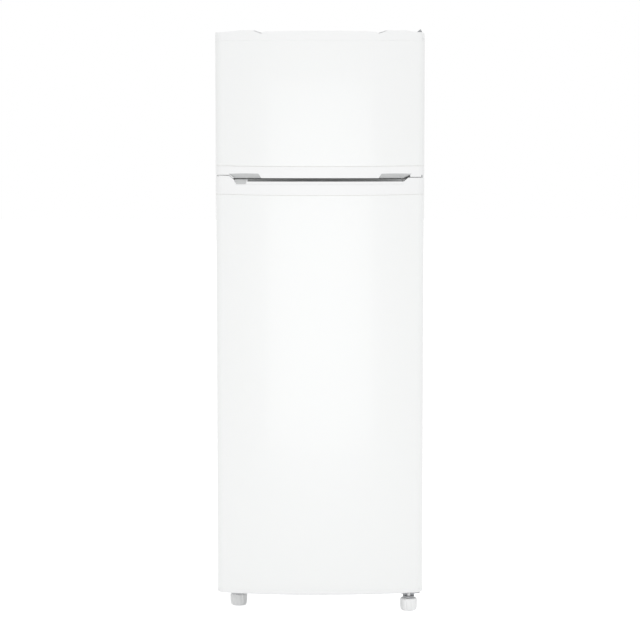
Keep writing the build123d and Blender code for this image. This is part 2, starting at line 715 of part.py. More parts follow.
SHELF_X = FRIDGE_X - 3.0
FREEZER_SHELF_X = FREEZER_X - 3.0
with BuildPart() as glass_shelves:
    for z in SHELF_Z:
        block((-SHELF_X, SHELF_X), (SHELF_FRONT_Y, SHELF_BACK_Y - 8), (z, z + GLASS))
    block(
        (-FREEZER_SHELF_X, FREEZER_SHELF_X),
        (-148, 195),
        (FREEZER_SHELF_Z, FREEZER_SHELF_Z + GLASS),
    )
    fillet(glass_shelves.edges().filter_by(Axis.Z), 3)
write("glass_shelves", glass_shelves)

with BuildPart() as shelf_trims:
    rests = [(SHELF_X, SHELF_FRONT_Y, SHELF_BACK_Y - 8, z) for z in SHELF_Z]
    rests.append((FREEZER_SHELF_X, -148, 195, FREEZER_SHELF_Z))
    for x, front, back, z in rests:
        block((-x + 4, x - 4), (front - 7, front), (z - 7, z + 11))
        block((-x + 4, x - 4), (back, back + 4), (z - 3, z + 16))
    fillet(shelf_trims.edges().filter_by(Axis.X).group_by(Axis.Y)[0], 2)
write("shelf_trims", shelf_trims)

CRISPER_X = 240.0
CRISPER_Z = (103.0, 392.0)
CRISPER_FRONT_Y = -128.0
CRISPER_STEP = (32.0, 345.0)
CRISPER_BACK_Y = 225.0


def crisper_body(inset, top):
    """The drawer's body, with its shallow rear part over the compressor step, set in by an amount."""
    half = CRISPER_X - inset
    outline = side_view(
        (
            (CRISPER_FRONT_Y + inset, CRISPER_Z[0] + inset),
            (CRISPER_STEP[0] - inset, CRISPER_Z[0] + inset),
            (CRISPER_STEP[0] - inset, CRISPER_STEP[1] + inset),
            (CRISPER_BACK_Y - inset, CRISPER_STEP[1] + inset),
            (CRISPER_BACK_Y - inset, top),
            (CRISPER_FRONT_Y + inset, top),
        ),
        -half,
    )
    return extrude(outline, amount=2 * half, mode=Mode.PRIVATE)


with BuildPart() as crisper_drawer:
    add(crisper_body(0, CRISPER_Z[1]))
    fillet(crisper_drawer.edges().filter_by(Axis.Z), 8)
    add(crisper_body(2.5, CRISPER_Z[1] + 1), mode=Mode.SUBTRACT)
    block((-110, 110), (CRISPER_FRONT_Y - 12, CRISPER_FRONT_Y), (350, 384))
    block((-106, 106), (CRISPER_FRONT_Y - 9, CRISPER_FRONT_Y), (349, 380), Mode.SUBTRACT)
write("crisper_drawer", crisper_drawer)

# ---------------------------------------------------------------------------------------------------
# Lamp, thermostat and lamp switch
# ---------------------------------------------------------------------------------------------------

HOUSING_X = (-120.0, 120.0)
HOUSING_Y = (-96.0, 60.0)
HOUSING_Z = (1198.0, FRIDGE_Z[1])
KNOB = (-84.0, 1219.0)
LAMP = (20.0, -18.0, 1221.0)
LENS_X = (-40.0, 108.0)
LENS_Y = (-82.0, 48.0)

with BuildPart() as thermostat_housing:
    block(HOUSING_X, HOUSING_Y, HOUSING_Z)
    fillet(thermostat_housing.edges().filter_by(Axis.Z), 10)
    fillet(thermostat_housing.faces().sort_by(Axis.Z)[0].edges(), 3)
    block(LENS_X, LENS_Y, (HOUSING_Z[0] - 1, HOUSING_Z[1] - PLASTIC), Mode.SUBTRACT)
    block((-112, -44), (-88, 40), (HOUSING_Z[0] + PLASTIC, HOUSING_Z[1] - PLASTIC), Mode.SUBTRACT)
    fore_and_aft(KNOB[0], (HOUSING_Y[0] - 1, -87), KNOB[1], 3 + RUNNING_FIT, Mode.SUBTRACT)
write("thermostat_housing", thermostat_housing)

with BuildPart() as lamp_lens:
    block(LENS_X, LENS_Y, (HOUSING_Z[0] - 1, HOUSING_Z[0] + 1))
    fillet(lamp_lens.edges().filter_by(Axis.Z), 2)
write("lamp_lens", lamp_lens)

with BuildPart() as lamp_bulb:
    with Locations(LAMP):
        Sphere(13)
    crosswise((LAMP[0], LAMP[0] + 24), LAMP[1], LAMP[2], 8)
    crosswise((LAMP[0] + 24, LENS_X[1]), LAMP[1], LAMP[2], 12)
write("lamp_bulb", lamp_bulb)

with BuildPart() as thermostat_knob:
    fore_and_aft(KNOB[0], (HOUSING_Y[0] - 15, HOUSING_Y[0] - 0.5), KNOB[1], 15)
    fillet(thermostat_knob.faces().sort_by(Axis.Y)[0].edges(), 2)
    block(
        (KNOB[0] - 3, KNOB[0] + 3),
        (HOUSING_Y[0] - 18, HOUSING_Y[0] - 14),
        (KNOB[1] - 13, KNOB[1] + 13),
    )
    fore_and_aft(KNOB[0], (HOUSING_Y[0] - 0.5, -80), KNOB[1], 3)
write("thermostat_knob", thermostat_knob)

DYKE_END_Y = DOOR_BACK_Y + PLASTIC + DYKE_DEPTH
SWITCH_X = 165.0
SWITCH_Z = 1228.0
SWITCH_Y = (DYKE_END_Y + 12, DYKE_END_Y + 50)
with BuildPart() as lamp_switch:
    block((SWITCH_X - 14, SWITCH_X + 14), SWITCH_Y, (1216, FRIDGE_Z[1]))
    fillet(lamp_switch.edges().filter_by(Axis.Y).group_by(Axis.Z)[0], 3)
    fore_and_aft(
        SWITCH_X, (SWITCH_Y[0] - 1, SWITCH_Y[0] + 30), SWITCH_Z, 4 + RUNNING_FIT, Mode.SUBTRACT
    )
write("lamp_switch", lamp_switch)

with BuildPart() as lamp_switch_plunger:
    fore_and_aft(SWITCH_X, (DYKE_END_Y + 0.4, SWITCH_Y[0] + 20), SWITCH_Z, 4)
    fillet(lamp_switch_plunger.faces().sort_by(Axis.Y)[0].edges(), 1.5)
write("lamp_switch_plunger", lamp_switch_plunger)

# ---------------------------------------------------------------------------------------------------
# Doors: skin, foam, inner liner and seal
# ---------------------------------------------------------------------------------------------------

BUSH_LENGTH = 16.5
RETURN_X = HALF - 16.0  # the skin folds in this far across the door's back
LINER_Y = DOOR_BACK_Y + PLASTIC
LINER_X = HALF - 4.0
DECK_Z = CABINET_TOP_Z - 2.5  # notch in the freezer door's top cap, under the top hinge
TOP_BUSH_Z = (DECK_Z - BUSH_LENGTH, DECK_Z)
END_X = 252.0  # the fridge door's top lies lower from here to its hinged end
END_Z = 1265.8
GRIP_BUSH_Z = (END_Z - BUSH_LENGTH, END_Z)
FRIDGE_SEAM_Z = FRIDGE_DOOR_Z[1] - FRIDGE_TOP_CAP
FREEZER_SEAM_Z = FREEZER_DOOR_Z[0] + FREEZER_BOTTOM_CAP

DOORS = (
    {
        "name": "fridge_door",
        "skin": (FRIDGE_DOOR_Z[0] + FRIDGE_BOTTOM_CAP, FRIDGE_SEAM_Z + FRIDGE_SEAM_RISE),
        "seam": (FRIDGE_SEAM_Z, FRIDGE_SEAM_RISE, 10),
        "liner": (62.0, 1262.0),
        "seal": (72.0, 1261.0),
        "dyke_x": 250.0,
        "dyke": (FRIDGE_Z[0] + 6, FRIDGE_Z[1] - 6),
    },
    {
        "name": "freezer_door",
        "skin": (FREEZER_SEAM_Z, FREEZER_DOOR_Z[1] - FREEZER_TOP_CAP),
        "seam": (FREEZER_SEAM_Z, FREEZER_SEAM_RISE, -10),
        "liner": (1281.0, 1655.0),
        "seal": (1288.0, 1627.0),
        "dyke_x": 235.0,
        "dyke": (FREEZER_Z[0] + 6, FREEZER_Z[1] - 6),
    },
)

for door in DOORS:
    low, high = door["skin"]
    dyke_core = (door["dyke"][0] + PLASTIC, door["dyke"][1] - PLASTIC)
    core_width = DYKE_WIDTH - 2 * PLASTIC
    beyond = beyond_seam(*door["seam"])
    with BuildPart() as skin:
        extrude(door_plan(low), amount=high - low)
        inner = door_plan(low, SHEET, DOOR_BACK_Y - SHEET)
        extrude(inner, amount=high - low, mode=Mode.SUBTRACT)
        block((-RETURN_X, RETURN_X), (DOOR_BACK_Y - 5, DOOR_BACK_Y + 1), (low, high), Mode.SUBTRACT)
        extrude(beyond, amount=-DEPTH, mode=Mode.SUBTRACT)
    write(door["name"] + "_skin", skin)

    with BuildPart() as foam:
        extrude(inner, amount=high - low)
        block((-RETURN_X, RETURN_X), (DOOR_BACK_Y - 5, DOOR_BACK_Y), (low, high))
        extrude(beyond, amount=-DEPTH, mode=Mode.SUBTRACT)
        core = ring(door["dyke_x"] - PLASTIC, dyke_core, core_width, DOOR_BACK_Y, 10)
        extrude(core, amount=-DYKE_DEPTH)
        if door["name"] == "freezer_door":
            upright(HINGE_X, HINGE_Y, (TOP_BUSH_Z[0], high), BUSH_RADIUS, Mode.SUBTRACT)
    write(door["name"] + "_foam", foam)

    with BuildPart() as liner:
        block((-LINER_X, LINER_X), (DOOR_BACK_Y, LINER_Y), door["liner"])
        fillet(liner.edges().filter_by(Axis.Y), 6)
        extrude(ring(door["dyke_x"], door["dyke"], DYKE_WIDTH, LINER_Y, 12), amount=-DYKE_DEPTH)
        fillet(liner.faces().sort_by(Axis.Y)[-1].edges(), 3)
        extrude(core, amount=-DYKE_DEPTH, mode=Mode.SUBTRACT)
    write(door["name"] + "_liner", liner)

    with BuildPart() as gasket:
        extrude(ring(GASKET_X, door["seal"], GASKET_WIDTH, LINER_Y, 12), amount=-GASKET)
        groove_z = (door["seal"][0] + 5, door["seal"][1] - 5)
        groove = ring(GASKET_X - 5, groove_z, GASKET_WIDTH - 10, LINER_Y, 7)
        extrude(groove, amount=-3, mode=Mode.SUBTRACT)
        fillet(gasket.faces().sort_by(Axis.Y)[-1].edges(), 3)
    write(door["name"] + "_gasket", gasket)

# ---------------------------------------------------------------------------------------------------
# Doors: end caps and the grip between the doors
# ---------------------------------------------------------------------------------------------------

EDGE = 0.6  # rounding where a cap meets the skin
SEAM_HEIGHT = 1.0  # the fine groove between a cap and the skin beside the grip
SEAM_DEPTH = 1.5
GRIP_X = (241.0, 258.0)  # half widths of the grip recess at its floor and at its mouth
GRIP_FLOOR_Z = 1254.6
GRIP_DECK_Z = 1262.0
GRIP_BACK_Y = -274.0
GRIP_LINE_X = (-243.0, 240.0)  # the fine groove under the grip's lip
GRIP_LINE_Z = 1247.2
WELL_X = (-210.0, 234.0)
WELL_Z = 1228.0
LIP_THICKNESS = 11.0
BAR_Z = 1264.4
BAR_BACK_Y = -290.5
BAR_FOOT = (240.0, BAR_Z)  # the bar's right end stands back, clear of the recess as the door swings
BAR_KNEE = (243.0, 1266.2)
BAR_FIT = 1.5  # between the bar's left end and the recess it closes into
SCOOP_INNER = (168.0, 176.0)  # how far out a scoop's inner end stands at its foot and at its top
SCOOP_OUTER = (245.0, 263.0)
SCOOP_Z = (1263.5, 1277.0)
SCOOP_DEPTH = 11.0
RAMP_X = (-246.0, -210.0)  # the slanted floor at the recess's left end
RAMP_Z = (1247.2, 1261.0)
LIP_X = 259.0
LIP_BACK_Y = -292.0
RIGHT_LIP_Z = 1267.6  # how far the freezer door's front lip comes down over the middle hinge
LEFT_LIP_Z = 1271.5  # how far the fridge door's front lip stands up at its free end


def grip_half(z):
    """Half the width of the slanted grip recess at a height."""
    slope = (GRIP_X[1] - GRIP_X[0]) / (FRIDGE_DOOR_Z[1] - GRIP_FLOOR_Z)
    return GRIP_X[0] + (z - GRIP_FLOOR_Z) * slope


def seam_plan(z):
    """A narrow band just inside a door's outline, seen from above."""
    with BuildSketch(Plane.XY.offset(z)) as band:
        add(door_plan(z))
        add(door_plan(z, SEAM_DEPTH, DOOR_BACK_Y - SEAM_DEPTH), mode=Mode.SUBTRACT)
    return band.sketch


def seam_groove(z, rise):
    """The fine groove round a door, upwards from a seam that curves up towards its ends."""
    with BuildPart() as groove:
        extrude(seam_plan(z), amount=rise + 2 * SEAM_HEIGHT)
        extrude(beyond_seam(z, rise, -10), amount=-DEPTH, mode=Mode.SUBTRACT)
        extrude(beyond_seam(z + SEAM_HEIGHT, rise, 10), amount=-DEPTH, mode=Mode.SUBTRACT)
    return groove.part


def lip_plan(z, x):
    """The front rim of a door over a stretch along X, seen from above."""
    with BuildSketch(Plane.XY.offset(z)) as rim:
        add(door_plan(z))
        with Locations((middle(x), (FRONT_Y + LIP_BACK_Y) / 2)):
            Rectangle(length(x), LIP_BACK_Y - FRONT_Y, mode=Mode.INTERSECT)
    return rim.sketch


def slanted(x, section):
    """A prism along the door's bow over a stretch along X, from (depth, z) points of its section."""
    ends = [(end, bow_y(end)) for end in x]
    turn = math.atan2(ends[1][1] - ends[0][1], ends[1][0] - ends[0][0])
    along = (math.cos(turn), math.sin(turn), 0)
    inward = (-math.sin(turn), math.cos(turn), 0)
    with BuildPart() as prism:
        with BuildSketch(Plane(origin=(*ends[0], 0), x_dir=inward, z_dir=along)):
            with BuildLine():
                Polyline(*section, close=True)
            make_face()
        extrude(amount=math.dist(*ends))
    return prism.part


def grip_outline(low, high):
    """The slanted outline of the grip recess between two heights, seen from the front."""
    return front_view(
        ((-grip_half(low), low), (grip_half(low), low), (grip_half(high), high), (-grip_half(high), high))
    )


with BuildPart() as fridge_door_bottom_cap:
    low, high = FRIDGE_DOOR_Z[0], FRIDGE_DOOR_Z[0] + FRIDGE_BOTTOM_CAP
    extrude(door_plan(low), amount=high - low)
    fillet(fridge_door_bottom_cap.faces().sort_by(Axis.Z)[0].edges(), 4)
    fillet(fridge_door_bottom_cap.faces().sort_by(Axis.Z)[-1].edges(), EDGE)
    upright(HINGE_X, HINGE_Y, (low, high), BUSH_RADIUS, Mode.SUBTRACT)
write("fridge_door_bottom_cap", fridge_door_bottom_cap)

def ramp_point(depth):
    """The (depth, z) point of the ramp at a depth behind the door's front."""
    return depth, RAMP_Z[0] + depth * length(RAMP_Z) / SCOOP_DEPTH


ramp_cut = slanted(RAMP_X, (ramp_point(-5), ramp_point(SCOOP_DEPTH), (-5, RAMP_Z[1])))
ramp_body = slanted(
    RAMP_X, (ramp_point(2), ramp_point(SCOOP_DEPTH), (SCOOP_DEPTH, RAMP_Z[0] + 2), (2, RAMP_Z[0] + 2))
)

fridge_groove = seam_groove(FRIDGE_SEAM_Z, FRIDGE_SEAM_RISE)
with BuildPart() as fridge_door_top_cap:
    low, high = FRIDGE_SEAM_Z, FRIDGE_DOOR_Z[1]
    extrude(door_plan(low), amount=high - low)
    extrude(beyond_seam(low, FRIDGE_SEAM_RISE, -10), amount=-DEPTH, mode=Mode.SUBTRACT)
    add(fridge_groove, mode=Mode.SUBTRACT)
    fillet(fridge_door_top_cap.faces().sort_by(Axis.Z)[-1].edges(), 2)
    extrude(lip_plan(high - 3, (-HALF, -LIP_X)), amount=LEFT_LIP_Z - high + 3)
    block((END_X, HALF + 1), (FRONT_Y, DOOR_BACK_Y + 1), (END_Z, high + 1), Mode.SUBTRACT)
    extrude(grip_outline(GRIP_DECK_Z, high + 5), amount=-DEPTH, mode=Mode.SUBTRACT)
    reach = GRIP_BACK_Y - (FRONT_Y - 10)
    extrude(grip_outline(GRIP_FLOOR_Z, GRIP_DECK_Z), amount=-reach, mode=Mode.SUBTRACT)
    add(ramp_cut, mode=Mode.SUBTRACT)
    add(ramp_body)
    extrude(
        bow_strip(WELL_Z - PLASTIC, WELL_X, LIP_THICKNESS, GRIP_BACK_Y + PLASTIC),
        amount=GRIP_DECK_Z - WELL_Z + PLASTIC,
        mode=Mode.SUBTRACT,
    )
    with BuildSketch(Plane.XY.offset(GRIP_LINE_Z)) as line:
        add(bow_strip(GRIP_LINE_Z, GRIP_LINE_X, -1, LIP_BACK_Y))
        add(bow_strip(GRIP_LINE_Z, GRIP_LINE_X, SEAM_DEPTH, LIP_BACK_Y), mode=Mode.SUBTRACT)
    extrude(line.sketch, amount=-SEAM_HEIGHT / 2, mode=Mode.SUBTRACT)
    upright(HINGE_X, HINGE_Y, GRIP_BUSH_Z, BUSH_RADIUS, Mode.SUBTRACT)
write("fridge_door_top_cap", fridge_door_top_cap)

with BuildPart() as grip_insert:
    extrude(
        bow_strip(WELL_Z - PLASTIC, WELL_X, LIP_THICKNESS, GRIP_BACK_Y + PLASTIC),
        amount=GRIP_FLOOR_Z - WELL_Z + PLASTIC,
    )
    block(WELL_X, (GRIP_BACK_Y, GRIP_BACK_Y + PLASTIC), (GRIP_FLOOR_Z, GRIP_DECK_Z))
    inner_span = (WELL_X[0] + PLASTIC, WELL_X[1] - PLASTIC)
    extrude(
        bow_strip(WELL_Z, inner_span, LIP_THICKNESS + PLASTIC, GRIP_BACK_Y),
        amount=GRIP_DECK_Z - WELL_Z,
        mode=Mode.SUBTRACT,
    )
write("grip_insert", grip_insert)

def scoop_point(depth):
    """The (depth, z) point of a scoop's face at a depth behind the door's front."""
    return depth, SCOOP_Z[1] - depth * length(SCOOP_Z) / SCOOP_DEPTH


def scoop_end(ends, z):
    """How far out a scoop's slanted end stands at a height."""
    return ends[0] + length(ends) * (z - SCOOP_Z[0]) / length(SCOOP_Z)


def scoop(side):
    """The finger scoop at one side of the freezer door's bottom edge, slanting in towards its foot."""
    top, foot = scoop_point(-8), scoop_point(SCOOP_DEPTH + 2)
    body = slanted(sorted((side * SCOOP_INNER[0], side * SCOOP_OUTER[1])), (top, foot, (-8, foot[1])))
    corners = [(SCOOP_INNER, foot[1]), (SCOOP_OUTER, foot[1]), (SCOOP_OUTER, top[1]), (SCOOP_INNER, top[1])]
    outline = front_view([(side * scoop_end(ends, z), z) for ends, z in corners])
    with BuildPart() as wedge:
        add(body)
        extrude(outline, amount=-60, mode=Mode.INTERSECT)
    return wedge.part


scoops = [scoop(side) for side in (-1, 1)]
freezer_groove = seam_groove(FREEZER_SEAM_Z - SEAM_HEIGHT, FREEZER_SEAM_RISE)
low, high = FREEZER_DOOR_Z[0], FREEZER_SEAM_Z
bar_left = BAR_FIT - grip_half(BAR_Z)
bar_left_top = BAR_FIT - grip_half(low)
with BuildPart() as bar:
    extrude(bow_strip(BAR_Z, (bar_left_top, GRIP_X[1]), 0, BAR_BACK_Y), amount=low - BAR_Z)
    outline = ((bar_left, BAR_Z), BAR_FOOT, BAR_KNEE, (GRIP_X[1], low), (bar_left_top, low))
    extrude(front_view(outline), amount=-60, mode=Mode.INTERSECT)

with BuildPart() as freezer_door_bottom_cap:
    extrude(door_plan(low), amount=high + FREEZER_SEAM_RISE - low)
    extrude(beyond_seam(high, FREEZER_SEAM_RISE, 10), amount=-DEPTH, mode=Mode.SUBTRACT)
    add(freezer_groove, mode=Mode.SUBTRACT)
    add(bar.part)
    extrude(lip_plan(low, (LIP_X, HALF)), amount=RIGHT_LIP_Z - low)
    add(scoops, mode=Mode.SUBTRACT)
    extrude(
        bow_strip(BAR_Z - 1, (WELL_X[0] + 4, WELL_X[1] - 14), 33, GRIP_BACK_Y + 12),
        amount=high - 6 - BAR_Z,
        mode=Mode.SUBTRACT,
    )
    upright(HINGE_X, HINGE_Y, (low, low + BUSH_LENGTH), BUSH_RADIUS, Mode.SUBTRACT)
write("freezer_door_bottom_cap", freezer_door_bottom_cap)

ARCH_X = 158.0  # half width of the low arch between the wings
ARCH_DROP = 2.4
NOTCH = (167.0, 1677.6)  # foot of the notch between the arch and a wing
LEFT_WING = ((-187.0, 1685.0), (-231.0, 1685.0), (-278.0, 1680.4), (-HALF, 1680.2))
RIGHT_WING = ((189.0, 1685.0), (247.0, 1685.0), (279.0, 1680.8), (HALF, 1680.3))
GROOVE_Z = (0.8, 2.6)  # how far below a wing's inner slope its slanted groove begins and ends
GROOVE_DEPTH = 3.0
with BuildPart() as freezer_door_top_cap:
    low, high = FREEZER_DOOR_Z[1] - FREEZER_TOP_CAP, FREEZER_DOOR_Z[1]
    extrude(door_plan(low), amount=FREEZER_TOP_CAP + 10)
    fillet(freezer_door_top_cap.faces().sort_by(Axis.Z)[0].edges(), EDGE)
    with BuildSketch(Plane.XZ.offset(10 - FRONT_Y)):
        with BuildLine():
            ThreePointArc((-ARCH_X, high - ARCH_DROP), (0, high), (ARCH_X, high - ARCH_DROP))
            Polyline(
                (ARCH_X, high - ARCH_DROP), NOTCH, *RIGHT_WING, (HALF, low), (-HALF, low),
                *LEFT_WING[::-1], (-NOTCH[0], NOTCH[1]), (-ARCH_X, high - ARCH_DROP)
            )
        make_face()
    extrude(amount=-DEPTH, mode=Mode.INTERSECT)
    for side, (top_x, top_z) in ((-1, LEFT_WING[0]), (1, RIGHT_WING[0])):
        foot_x, foot_z = side * NOTCH[0], NOTCH[1]
        groove = [(x, z - GROOVE_Z[0]) for x, z in ((foot_x, foot_z), (top_x, top_z))]
        groove += [(x, z - GROOVE_Z[1]) for x, z in ((top_x, top_z), (foot_x, foot_z))]
        groove_back = bow_y(top_x) + GROOVE_DEPTH
        extrude(front_view(groove), amount=FRONT_Y - 10 - groove_back, mode=Mode.SUBTRACT)
    block((221, HALF + 1), (LIP_BACK_Y, DOOR_BACK_Y + 1), (DECK_Z, high + 20), Mode.SUBTRACT)
    extrude(
        bow_strip(low, (-268, 214), 6, DOOR_BACK_Y - 4), amount=high - 9 - low, mode=Mode.SUBTRACT
    )
    upright(HINGE_X, HINGE_Y, (low, DECK_Z), BUSH_RADIUS, Mode.SUBTRACT)
write("freezer_door_top_cap", freezer_door_top_cap)

BUSHES = {
    "fridge_door_bushes": ((FRIDGE_DOOR_Z[0], FRIDGE_DOOR_Z[0] + FRIDGE_BOTTOM_CAP), GRIP_BUSH_Z),
    "freezer_door_bushes": ((FREEZER_DOOR_Z[0], FREEZER_DOOR_Z[0] + BUSH_LENGTH), TOP_BUSH_Z),
}
for name, spans in BUSHES.items():
    with BuildPart() as bushes:
        for span in spans:
            upright(HINGE_X, HINGE_Y, span, BUSH_RADIUS)
            upright(HINGE_X, HINGE_Y, span, PIN_RADIUS + RUNNING_FIT, Mode.SUBTRACT)
    write(name, bushes)

# ---------------------------------------------------------------------------------------------------
# Doors: bins
# ---------------------------------------------------------------------------------------------------

BIN_X = 219.0
BIN_Y = (LINER_Y + 4, -145.0)
BIN_Z = (610.0, 800.0)
BIN_HEIGHT = 70.0
BOTTLE_BIN_Z = (412.0, 530.0)
FREEZER_BIN_X = 204.0
FREEZER_BIN_Y = (LINER_Y + 4, -179.0)
FREEZER_BIN_Z = (1345.0, 1475.0)
FREEZER_BIN_HEIGHT = 72.0
DAIRY_X = 222.0
DAIRY_Y = (LINER_Y + 1, -145.0)
DAIRY_Z = (1030.0, 1103.0)


def tray(x, y, z):
    """An open-topped tray with rounded corners, a little wider at its rim than at its floor."""
    with BuildPart() as body:
        for inset, low, mode in ((0, z[0], Mode.ADD), (PLASTIC, z[0] + PLASTIC, Mode.SUBTRACT)):
            with BuildSketch(Plane.XY.offset(low)):
                with Locations((middle(x), middle(y))):
                    RectangleRounded(length(x) - 2 * inset, length(y) - 2 * inset, 12 - inset)
            extrude(amount=z[1] - low, taper=-1.5, mode=mode)
    return body.part


trays = [tray((-BIN_X, BIN_X), BIN_Y, (low, low + BIN_HEIGHT)) for low in BIN_Z]
with BuildPart() as door_bins:
    add(trays)
write("door_bins", door_bins)

trays = [tray((-BIN_X + 1, BIN_X - 1), (BIN_Y[0] + 1, BIN_Y[1] - 1), BOTTLE_BIN_Z)]
with BuildPart() as bottle_bin:
    add(trays)
write("bottle_bin", bottle_bin)

trays = [
    tray((-FREEZER_BIN_X, FREEZER_BIN_X), FREEZER_BIN_Y, (low, low + FREEZER_BIN_HEIGHT))
    for low in FREEZER_BIN_Z
]
with BuildPart() as freezer_door_bins:
    add(trays)
write("freezer_door_bins", freezer_door_bins)

FLAP_AXIS = (-237.0, 1108.0)
FLAP_PIN = 2.5
with BuildPart() as dairy_bin:
    block((-DAIRY_X, DAIRY_X), DAIRY_Y, DAIRY_Z)
    fillet(dairy_bin.edges().filter_by(Axis.Z), 8)
    offset(amount=-PLASTIC, openings=dairy_bin.faces().sort_by(Axis.Z)[-1])
    for x in both_sides((DAIRY_X - 4, DAIRY_X)):
        block(x, (DAIRY_Y[0] + 0.2, DAIRY_Y[0] + 14), (1060, 1114))
        crosswise((x[0] - 1, x[1] + 1), *FLAP_AXIS, FLAP_PIN + RUNNING_FIT, Mode.SUBTRACT)
write("dairy_bin", dairy_bin)

FLAP_X = DAIRY_X - 4.5
FLAP_Y = (DAIRY_Y[1] + 1, DAIRY_Y[1] + 3.5)
FLAP_Z = (1062.0, 1105.0, 1107.5)  # lower edge of its front, underside and top of its lid
with BuildPart() as dairy_flap:
    block((-FLAP_X, FLAP_X), (FLAP_AXIS[0], FLAP_Y[1]), FLAP_Z[1:])
    block((-FLAP_X, FLAP_X), FLAP_Y, FLAP_Z[:2])
    fillet(dairy_flap.edges().filter_by(Axis.X).sort_by(Axis.Y)[-4:].sort_by(Axis.Z)[-1], 2)
    crosswise((-FLAP_X, FLAP_X), *FLAP_AXIS, FLAP_PIN + 1)
    crosswise((-DAIRY_X, DAIRY_X), *FLAP_AXIS, FLAP_PIN)
write("dairy_flap", dairy_flap)

# ---------------------------------------------------------------------------------------------------
# Screws
# ---------------------------------------------------------------------------------------------------


def screw(plane, grip):
    """A pan-head screw on a plane, whose shank reaches back through a plate of thickness grip."""
    head = (Align.CENTER, Align.CENTER, Align.MIN)
    with BuildPart(plane) as body:
        Cylinder(4.8, 2.8, align=head)
        fillet(body.edges().filter_by(GeomType.CIRCLE).sort_by(plane.location.z_axis)[-1], 1.6)
        with Locations((0, 0, -grip)):
            Cylinder(2.5, grip, align=head)
    return body.part


fasteners = [
    screw(Plane(origin=(x, y, CABINET_TOP_Z + HINGE_PLATE)), HINGE_PLATE) for x, y in TOP_SCREWS
]
fasteners += [
    screw(Plane(origin=(x, MID_FLANGE_Y[0], z), z_dir=(0, -1, 0)), length(MID_FLANGE_Y))
    for x, z in MID_SCREWS
]
fasteners += [
    screw(Plane(origin=(x, y, FOOT_PLATE_Z[0]), z_dir=(0, 0, -1)), HINGE_PLATE)
    for x, y in BOTTOM_SCREWS + LEFT_SCREWS
]
with BuildPart() as screws:
    add(fasteners)
write("screws", screws)
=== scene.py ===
"""Top freezer refrigerator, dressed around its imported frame, in a pale studio.

Metres, +Z up, front towards -Y, door hinges on the +X side.
"""

import json
import logging
import math
from collections.abc import Callable
from dataclasses import dataclass, field
from enum import Enum
from typing import Any, TypeVar

import bmesh
import bpy
from mathutils import Matrix, Vector

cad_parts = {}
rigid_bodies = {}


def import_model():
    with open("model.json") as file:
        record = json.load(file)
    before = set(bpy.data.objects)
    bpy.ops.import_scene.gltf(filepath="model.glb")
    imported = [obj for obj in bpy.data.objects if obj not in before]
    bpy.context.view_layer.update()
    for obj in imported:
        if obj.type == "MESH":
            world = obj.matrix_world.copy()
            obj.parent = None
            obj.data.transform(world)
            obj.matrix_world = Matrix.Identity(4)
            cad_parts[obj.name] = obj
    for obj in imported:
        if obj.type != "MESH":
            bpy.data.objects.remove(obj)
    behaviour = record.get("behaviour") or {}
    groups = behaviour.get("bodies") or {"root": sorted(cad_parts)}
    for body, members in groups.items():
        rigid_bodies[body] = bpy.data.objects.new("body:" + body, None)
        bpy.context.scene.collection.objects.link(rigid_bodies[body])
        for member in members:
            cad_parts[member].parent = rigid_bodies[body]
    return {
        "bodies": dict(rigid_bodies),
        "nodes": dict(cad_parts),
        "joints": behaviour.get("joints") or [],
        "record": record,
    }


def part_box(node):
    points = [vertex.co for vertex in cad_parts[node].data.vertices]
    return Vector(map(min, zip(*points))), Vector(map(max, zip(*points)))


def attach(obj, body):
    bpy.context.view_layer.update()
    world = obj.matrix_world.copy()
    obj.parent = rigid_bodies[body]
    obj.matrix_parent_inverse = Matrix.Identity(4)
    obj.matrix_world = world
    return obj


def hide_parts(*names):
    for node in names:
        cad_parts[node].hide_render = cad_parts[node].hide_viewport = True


LOG = logging.getLogger("refrigerator")

MM = 0.001
WELD = 0.01 * MM
"""Vertices that are nearer to each other than this become one."""
FLAT = math.radians(0.3)
"""Neighbouring faces that turn less than this are joined into one."""

Color = tuple[float, float, float]
Point = tuple[float, float, float]
Cut = tuple[Point, Point]
"""A plane that trims: a place on it in millimetres, and the way towards what it cuts off."""
Chosen = Callable[[bmesh.types.BMFace], bool]
"""Tells whether a face is wanted."""
Kind = TypeVar("Kind")

WHITE = (1.0, 1.0, 1.0, 1.0)
UP: Point = (0.0, 0.0, 1.0)
DOWN: Point = (0.0, 0.0, -1.0)
TO_FRONT: Point = (0.0, -1.0, 0.0)
TO_BACK: Point = (0.0, 1.0, 0.0)
FACING_FRONT = Matrix.Rotation(math.radians(90.0), 3, "X")
"""Turns what lies on its back, face up, towards the front."""
FACING_BACK = Matrix.Rotation(math.radians(-90.0), 3, "X")
"""Turns what lies on its back, face up, towards the back."""


def only(kind: type[Kind], parts: list[Any]) -> list[Kind]:
    """Picks the parts of one kind out of what an operator returned."""
    return [part for part in parts if isinstance(part, kind)]


def whole(work: bmesh.types.BMesh) -> list[Any]:
    """Lists everything that a worked mesh is made of."""
    return work.verts[:] + work.edges[:] + work.faces[:]


def faces_of(verts: list[bmesh.types.BMVert]) -> list[bmesh.types.BMFace]:
    """Lists the faces that some vertices belong to."""
    return list({face for vert in verts for face in vert.link_faces})


def unit_square(work: bmesh.types.BMesh) -> list[bmesh.types.BMVert]:
    """Adds a square with sides of 1 that lies on the origin and faces up."""
    return bmesh.ops.create_grid(work, x_segments=1, y_segments=1, size=0.5)["verts"]


def added(work: bmesh.types.BMesh, mesh: bpy.types.Mesh) -> list[bmesh.types.BMVert]:
    """Adds a mesh to a worked one.

    Args:
        work: The worked mesh.
        mesh: What it takes in.

    Returns:
        The vertices that came with it.
    """
    work.from_mesh(mesh)
    work.verts.ensure_lookup_table()
    return work.verts[-len(mesh.vertices) :]


